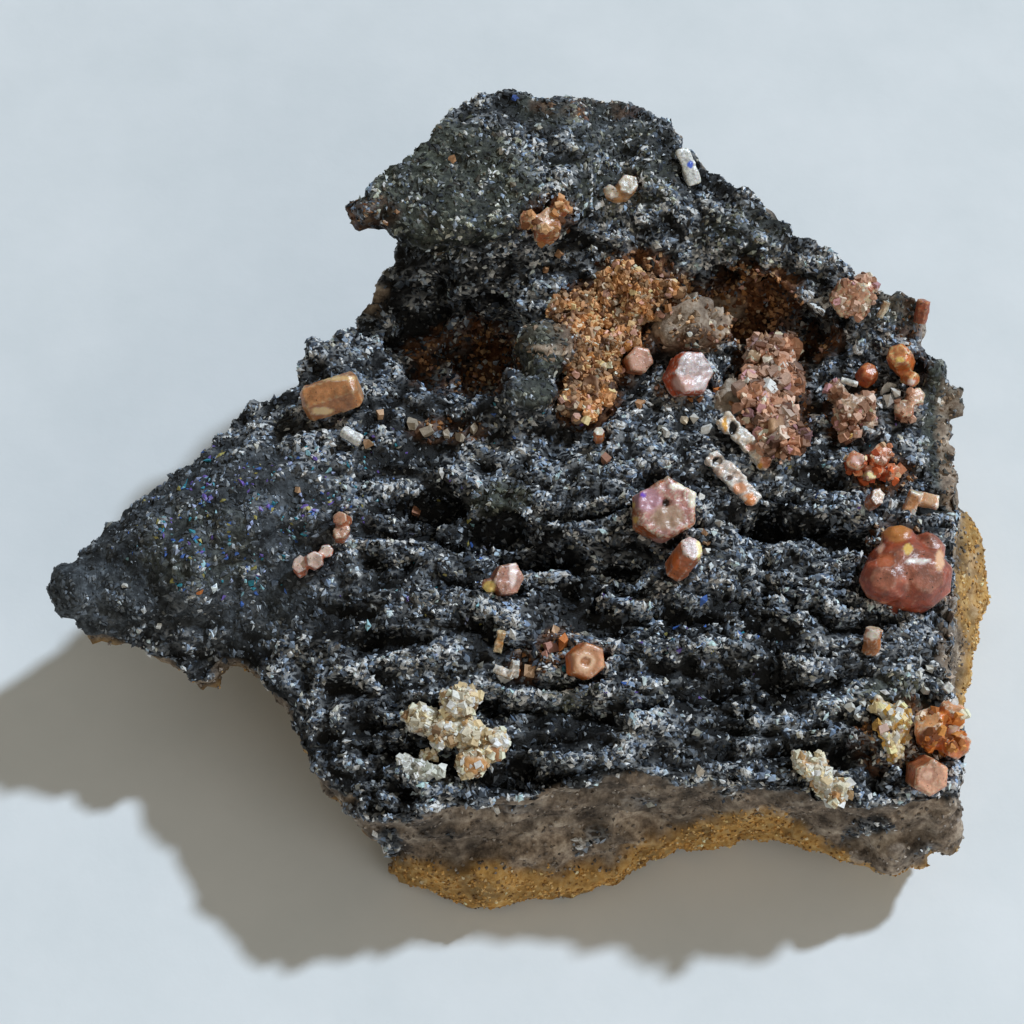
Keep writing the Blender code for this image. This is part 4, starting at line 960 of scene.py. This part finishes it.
def marked(mesh, name):
    """Gives a piece its own marks, some of them painted highlights and painted shade, as a colour and a
    mask, and dents it where they are deep.
    """
    co, normals = surface(mesh)
    across, down = pixels(co)
    share, colour = np.zeros(len(co)), np.ones((len(co), 4))
    for u, v, half_width, half_height, depth, code in MARKS_AND_PAINTED_LIGHT.get(name, ()):
        wobble = 1.6 * lumps(co, 0.5, seed=53, octaves=2)
        spot = spots(across + wobble, down - wobble, [(u, v, half_width, half_height, 1.0)])
        spot *= normals @ EYEWARD > 0
        over = np.where(share > 0, spot, 1.0) * (spot > 0)
        colour += over[:, None] * (np.array(linear(code)) - colour)
        share = np.maximum(share, spot)
        co -= depth * spot[:, None] * EYEWARD
    set_coordinates(mesh, co)
    keep_values(mesh, "Mark", colour)
    keep_values(mesh, "Marked", share)


# A ball that fills the space between a piece's lobes: its pixel and its radius in millimetres.
CORES = {"red_ball": (904, 578, 2.95)}


def core(name, across, down, radius):
    bm = bmesh.new()
    bmesh.ops.create_icosphere(bm, subdivisions=3, radius=radius)
    line = sight_line(across, down)
    middle = Vector(surface(node_mesh(name))[0].mean(0).tolist())
    place = EYE + line * ((middle - EYE).dot(line)) - 0.4 * TO_EYE
    bmesh.ops.translate(bm, verts=bm.verts, vec=place)
    return mesh_from(bm, "core")


def worked_crystal(name, end_axis, voxel, pitting):
    """A crystal with worn edges, pitted ends and sides ribbed across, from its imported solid."""
    solids = [node_mesh(name)]
    if name in CORES:
        solids.append(core(name, *CORES[name]))
    obj = remeshed(name, solids, voxel * 1.3, 2)
    mesh = obj.data
    co, normals = surface(mesh)
    right, up, towards = end_axis
    axis = np.array((right * RIGHT + up * UP + towards * TO_EYE).normalized())
    facing = normals @ axis
    end = smoothstep(0.72, 0.92, facing)
    ribs = np.array([noise.noise(Vector((a / 0.32, 0.3, len(name)))) for a in co @ axis])
    dents = lumps(co, 0.9, seed=51 + len(name), octaves=4)
    pits = smoothstep(0.45, 0.8, knobs(co, 0.62, seed=52))
    out = 0.05 * ribs * (1 - end) * (np.abs(facing) < 0.6)
    out += pitting * (0.13 * dents - 0.12 * end * pits)
    set_coordinates(mesh, co + normals * out[:, None])
    keep_values(mesh, "End", np.clip(end + 0.25 * dents * end, 0, 1))
    keep_values(mesh, "Edge", smoothstep(0.05, 0.22, bulge(mesh) / voxel) * 0.8)
    marked(mesh, name)
    return obj


def vanadinite_pieces():
    for name, (axis, voxel, pitting, side, end, rim) in VANADINITE.items():
        obj = worked_crystal(name, axis, voxel, pitting)
        finish = vanadinite_finish("vanadinite " + name.replace("_", " "), side, end, rim)
        hand_over(obj, name + "_worked", finish, [name])


# Each barite piece: how fine it is worked, how rough it is, its colour where fresh and where
# stained, and how rough its gloss is.
BARITE = {
    "white_rod": (0.06, 0.3, "#ffffff", "#f4f4f4", 0.25),
    "rosette_rod": (0.06, 0.2, "#f2f1ee", "#d8d4cc", 0.25),
    "ridge_rod": (0.06, 0.2, "#ecdcc0", "#cfae86", 0.3),
    "white_cube": (0.06, 0.2, "#f2f1ee", "#d2d4d6", 0.25),
    "white_splinters": (0.07, 0.5, "#f1efe9", "#c9a27c", 0.25),
    "gold_splinter": (0.07, 0.5, "#ecd9b0", "#c48a4a", 0.25),
    "bright_blade": (0.07, 0.5, "#f8f8f8", "#eceee8", 0.2),
    "skeletal_plate_upper": (0.08, 1.2, "#faf8f4", "#f0d0ae", 0.22),
    "skeletal_plate_lower": (0.08, 1.2, "#faf8f6", "#f0cab2", 0.22),
    "rosette": (0.10, 1.0, "#eeceb2", "#a67656", 0.35),
    "gold_crumbs": (0.10, 1.0, "#f2e8d0", "#e8bc70", 0.35),
    "cream_mass": (0.13, 1.2, "#f2ecd6", "#e2b080", 0.45),
    "white_crumbs": (0.09, 1.0, "#f4f4ee", "#cecab6", 0.35),
    "cream_chip": (0.08, 0.8, "#e4cfa4", "#c08850", 0.35),
    "cream_shelf": (0.10, 1.0, "#f2ecd8", "#e8b880", 0.4),
}
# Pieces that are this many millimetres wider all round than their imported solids, as the camera
# sees them, for their ragged edges.
WIDER = {
    "skeletal_plate_upper": 0.1, "skeletal_plate_lower": 0.12, "white_rod": 0.12,
    "bright_blade": 0.15,
}


def barite_pieces():
    for name, (voxel, roughness, pale, stain, shine) in BARITE.items():
        obj = remeshed(name, [node_mesh(name)], voxel, 2)
        mesh = obj.data
        co, normals = surface(mesh)
        out = roughness * (0.2 * lumps(co, 0.9, seed=61) + 0.16 * (knobs(co, 0.7, seed=62) - 0.4))
        sideways = normals - (normals @ EYEWARD)[:, None] * EYEWARD
        set_coordinates(mesh, co + normals * out[:, None] + WIDER.get(name, 0.0) * sideways)
        keep_values(mesh, "Edge", smoothstep(0.06, 0.3, bulge(mesh) / voxel) * 0.6)
        marked(mesh, name)
        finish = barite_finish("barite " + name.replace("_", " "), pale, stain, shine)
        hand_over(obj, name + "_worked", finish, [name])


# Crumbs and short prisms that stand on a mass: count, shape, size range, palette.
CREAM = (("#f2e6cc", 30), ("#e2caa0", 20), ("#faf8f0", 18), ("#c09a6c", 8), ("#8a6846", 4))
GOLD = (("#f6dca4", 26), ("#e8b25c", 20), ("#fdf6e8", 24), ("#b4743c", 6), ("#eecabc", 6))
AMBER = (("#cc7830", 22), ("#e49848", 20), ("#8e5026", 10), ("#f4dcc0", 10), ("#fdf8f2", 8))
WHITE = (("#f6f6f0", 34), ("#d4d5c8", 12), ("#a8aa9c", 8), ("#fcfcfa", 16))
BROWN_PRISMS = (
    ("#cc9566", 28), ("#e0b284", 24), ("#b07844", 18), ("#f0d8bc", 8), ("#744624", 14), ("#e0ac98", 6),
)
RED_PRISMS = (("#dc6c38", 30), ("#e8966a", 20), ("#b44c26", 16), ("#f4cca4", 9), ("#e8b8a8", 6))
COLUMN_PRISMS = (
    ("#c8967a", 26), ("#dfb49c", 24), ("#a8765a", 14), ("#f0d4c2", 16), ("#dca4a8", 6), ("#7a4c34", 10),
)
CRUMBS = {
    "cream_mass": (520, BLOCK, (0.22, 0.75), CREAM),
    "gold_crumbs": (110, BLOCK, (0.25, 0.8), GOLD),
    "white_crumbs": (60, BLOCK, (0.25, 0.7), WHITE),
    "cream_shelf": (150, BLOCK, (0.22, 0.75), CREAM),
    "cream_chip": (16, BLOCK, (0.25, 0.5), CREAM),
    "rosette": (120, PRISM, (0.3, 0.8), COLUMN_PRISMS),
    "hollow_crust": (1900, PRISM, (0.2, 0.72), BROWN_PRISMS),
    "brown_column": (600, PRISM, (0.25, 1.1), COLUMN_PRISMS),
    "corner_mass": (50, PRISM, (0.3, 0.9), AMBER),
    "ridge_crystals": (60, PRISM, (0.3, 0.8), COLUMN_PRISMS),
    "head_crystals": (40, PRISM, (0.3, 0.8), BROWN_PRISMS),
    "brown_pair": (26, PRISM, (0.3, 0.7), COLUMN_PRISMS),
    "red_crystals": (40, PRISM, (0.3, 0.8), RED_PRISMS),
}

def sunk_share(co):
    """Where the brown crusts thin out into the rock, from 0 to 1."""
    return ragged_spots(*pixels(co), THIN_CRUST, lumps(co, 1.1, seed=76), 0.35)


def crumb_pieces(rng, finish):
    for name, (count, shape, (small, large), palette) in CRUMBS.items():
        bare = name in BARE
        mesh = node_mesh(name)
        co, normals = surface(mesh)
        sunk = sunk_share(co) if bare else np.zeros(len(co))
        patchy = lumps(co, 1.5, seed=74) if bare else 0.6 + sunk
        density = smoothstep(-0.2, 0.3, normals @ EYEWARD) + 0.05
        density *= (1 - np.clip(1.4 * sunk, 0, 1)) * smoothstep(-0.45, 0.1, patchy) + 1e-4
        places, up = sprinkle(rng, mesh, count, density)
        length = small + (large - small) * rng.random(count) ** 1.8
        sizes = np.stack([length, length * rng.uniform(0.7, 1, count), length * 0.8], axis=1)
        lift = (-0.25 if bare else -0.15) * length
        made = scatter(rng, shape, places, up, sizes, 0.9, lift, 0.25)
        tints = picked(rng, count, palette)
        if bare:
            shade = 0.42 + 0.95 * smoothstep(-0.5, 0.3, lumps(places, 0.9, seed=75))
            tints[:, :3] *= shade[:, None]
        tints = np.clip(tints, 0, 0.95)
        hand_over_scattered(made, shape, tints, name + "_crumbs", finish)


# Single small grains and crystals on the crust: by colour, their pixels and sizes in millimetres.
LOOSE = {
    "#d8b08c": (
        (368, 443, 0.8), (380, 415, 0.6), (297, 490, 0.5), (530, 670, 1.0), (555, 632, 0.7),
        (704, 532, 0.5), (706, 543, 0.5),
    ),
    "#a06e54": ((415, 512, 0.9), (607, 460, 0.7)),
    "#f3f1ec": (
        (500, 674, 0.9), (507, 679, 0.7), (700, 498, 0.6), (706, 553, 0.6), (666, 432, 0.8),
        (706, 430, 0.8), (693, 419, 0.7), (890, 386, 0.8), (884, 392, 0.8), (896, 393, 0.8),
        (890, 400, 0.8), (937, 400, 0.5), (497, 808, 0.7),
    ),
    "#dd8340": ((516, 672, 0.8), (563, 640, 0.8), (720, 393, 0.9), (200, 592, 0.4)),
    "#cf9888": ((550, 645, 0.9), (555, 652, 0.7), (545, 655, 0.6)),
    "#d4d2cc": ((719, 524, 0.7), (125, 586, 0.4), (160, 625, 0.4)),
    "#ecd8bc": ((684, 421, 0.8), (774, 350, 0.9)),
    "#cd9264": ((730, 404, 1.0), (742, 416, 0.9), (756, 432, 0.9), (570, 660, 0.7)),
    "#f4cf70": ((760, 413, 0.5),),
    "#d888a8": ((778, 340, 1.2),),
    "#b4a694": (
        (412, 425, 0.8), (428, 432, 0.9), (446, 436, 0.8), (462, 440, 0.8), (474, 430, 0.7),
        (700, 770, 0.6),
    ),
    "#c09068": ((452, 160, 0.6), (560, 255, 0.7), (545, 270, 0.6), (640, 405, 0.6)),
    "#5a7ad0": ((515, 98, 0.5),),
    "#e2e0d8": (
        (850, 706, 0.6), (862, 701, 0.5), (880, 699, 0.6), (858, 716, 0.5), (846, 714, 0.4),
        (908, 668, 0.6), (918, 676, 0.5), (930, 668, 0.6), (938, 684, 0.6), (912, 690, 0.5),
        (925, 690, 0.5),
    ),
}

def loose_crystals(rng, rock_mesh, finish):
    """Small grains that lie alone on the crust, each where the camera's line of sight meets it."""
    tree = BVHTree.FromPolygons(
        [v.co for v in rock_mesh.vertices], [p.vertices for p in rock_mesh.polygons]
    )
    places, up, sizes, tints = [], [], [], []
    for code, rows in LOOSE.items():
        for across, down, size in rows:
            point, normal = tree.ray_cast(EYE, sight_line(across, down))[:2]
            places.append(point)
            up.append((normal + 0.6 * TO_EYE).normalized())
            sizes.append((size, size * rng.uniform(0.6, 0.9), size * rng.uniform(0.6, 1.0)))
            tints.append(linear(code))
    places, up, sizes = np.array(places), np.array(up), np.array(sizes)
    mesh = scatter(rng, BLOCK, places, up, sizes, 0.5, 0.2 * sizes[:, 0], 0.45)
    hand_over_scattered(mesh, BLOCK, np.array(tints), "loose_crystals", finish)


# How many brown crumbs lie loose, and how fine the crusts' skin is, in millimetres.
LOOSE_CRUMBS = 1100
BED_VOXEL = 0.16


def loose_crumbs(rng, rock_mesh, finish):
    """Brown crumbs that thin out over the crust around the brown hollows."""
    density = smoothstep(0.25, 1.0, stored(rock_mesh, "Brown")) + 1e-6
    places, up = sprinkle(rng, rock_mesh, LOOSE_CRUMBS, density)
    brown = regions(places, up)["Brown"]
    length = rng.uniform(0.25, 0.75, LOOSE_CRUMBS) * (0.6 + 0.4 * brown)
    sizes = length[:, None] * (1, 0.8, 0.7)
    mesh = scatter(rng, GRAIN, places, up, sizes, 0.8, 0.1 * length, 0.3)
    tints = picked(rng, LOOSE_CRUMBS, BROWN_PRISMS)
    tints[:, :3] *= (0.35 + 0.65 * brown)[:, None]
    hand_over_scattered(mesh, GRAIN, tints, "loose_crumbs", finish)


def crust_beds(finish):
    """The brown crusts in the hollows, under their standing prisms."""
    dark, light, bare = (np.array(linear(code)) for code in ("#6a4024", "#deb088", "#a08e7a"))
    for name in ("hollow_crust", "brown_column"):
        obj = remeshed(name, [node_mesh(name)], BED_VOXEL, 1)
        co, normals = surface(obj.data)
        out = 0.3 * lumps(co, 0.9, seed=71) + 0.4 * (knobs(co, 0.9, seed=72) - 0.6) - 0.15
        out -= 0.9 * smoothstep(0.0, -0.45, lumps(co, 1.5, seed=74))
        sunk = sunk_share(co)[:, None]
        set_coordinates(obj.data, co + normals * out[:, None] - 1.2 * sunk * EYEWARD)
        tone = np.clip(0.5 + 0.8 * lumps(co, 1.0, seed=73)[:, None], 0, 1)
        tint = dark + (light - dark) * tone
        tint += (bare + 0.2 * tone - tint) * sunk
        keep_values(obj.data, "Tint", np.clip(tint, 0, 0.9))
        hand_over(obj, name + "_bed", finish, [name])


# The stage

# In metres: how far the floor reaches each way, and how far it lies under the rock.
FLOOR_REACH = 3.0
FLOOR_DROP = 0.0002

# Each lamp: its kind and settings, where it stands in metres, and which way it shines from.
LAMPS = {
    "key light": (
        "SUN", {"energy": 2.45, "angle": math.radians(4), "color": (0.86, 1.0, 1.14)},
        (0, 0, 0), (0.80, 0.55, 1.0),
    ),
    "front light": (
        "AREA", {"shape": "DISK", "size": 0.2, "energy": 0.16, "color": (1.0, 0.96, 0.88)},
        (0.17, -0.19, 0.15), (0.15, -0.15, 0.15),
    ),
}
# The light that the room gives back from all sides, as linear colour.
ROOM_LIGHT = (0.25, 0.232, 0.19, 1)


def stage():
    bm = bmesh.new()
    bmesh.ops.create_grid(bm, x_segments=1, y_segments=1, size=FLOOR_REACH)
    floor = show(bpy.data.objects.new("floor", mesh_from(bm, "floor")))
    floor.location.z = -FLOOR_DROP
    floor.data.materials.append(paper_finish())

    for name, (kind, settings, place, towards) in LAMPS.items():
        light = bpy.data.lights.new(name, kind)
        for key, value in settings.items():
            setattr(light, key, value)
        lamp = show(bpy.data.objects.new(name, light))
        lamp.location = place
        lamp.rotation_euler = Vector(towards).to_track_quat("Z", "Y").to_euler()

    world = bpy.data.worlds.new("room")
    world.use_nodes = True
    background = world.node_tree.nodes["Background"]
    background.inputs["Color"].default_value = ROOM_LIGHT
    background.inputs["Strength"].default_value = 1.0
    bpy.context.scene.world = world
    bpy.context.scene.view_settings.view_transform = "Standard"


def camera():
    data = bpy.data.cameras.new("camera")
    data.lens = LENS
    data.sensor_width = SENSOR
    data.clip_start = 0.01
    made = show(bpy.data.objects.new("camera", data))
    turned = TO_EYE.to_track_quat("Z", "Y").to_matrix().to_4x4()
    made.matrix_world = Matrix.Translation(EYE * MM) @ turned
    bpy.context.scene.camera = made


def main():
    rng = np.random.default_rng(7)
    camera()
    stage()
    crusted = rock()
    glint, crumb = grain_finish(), crumb_finish()
    for layer, count, longest in CRUST_LAYERS:
        crust_grains(rng, crusted.data, layer, count, longest, glint)
    wall_grains(rng, crusted.data, crumb)
    loose_crystals(rng, crusted.data, crumb)
    loose_crumbs(rng, crusted.data, crumb)
    hand_over(crusted, "crusted_rock", rock_finish(), ["barite_rock"])
    vanadinite_pieces()
    barite_pieces()
    crust_beds(crumb)
    crumb_pieces(rng, crumb)
    bpy.data.collections.remove(workshop)

    bpy.context.view_layer.update()


main()
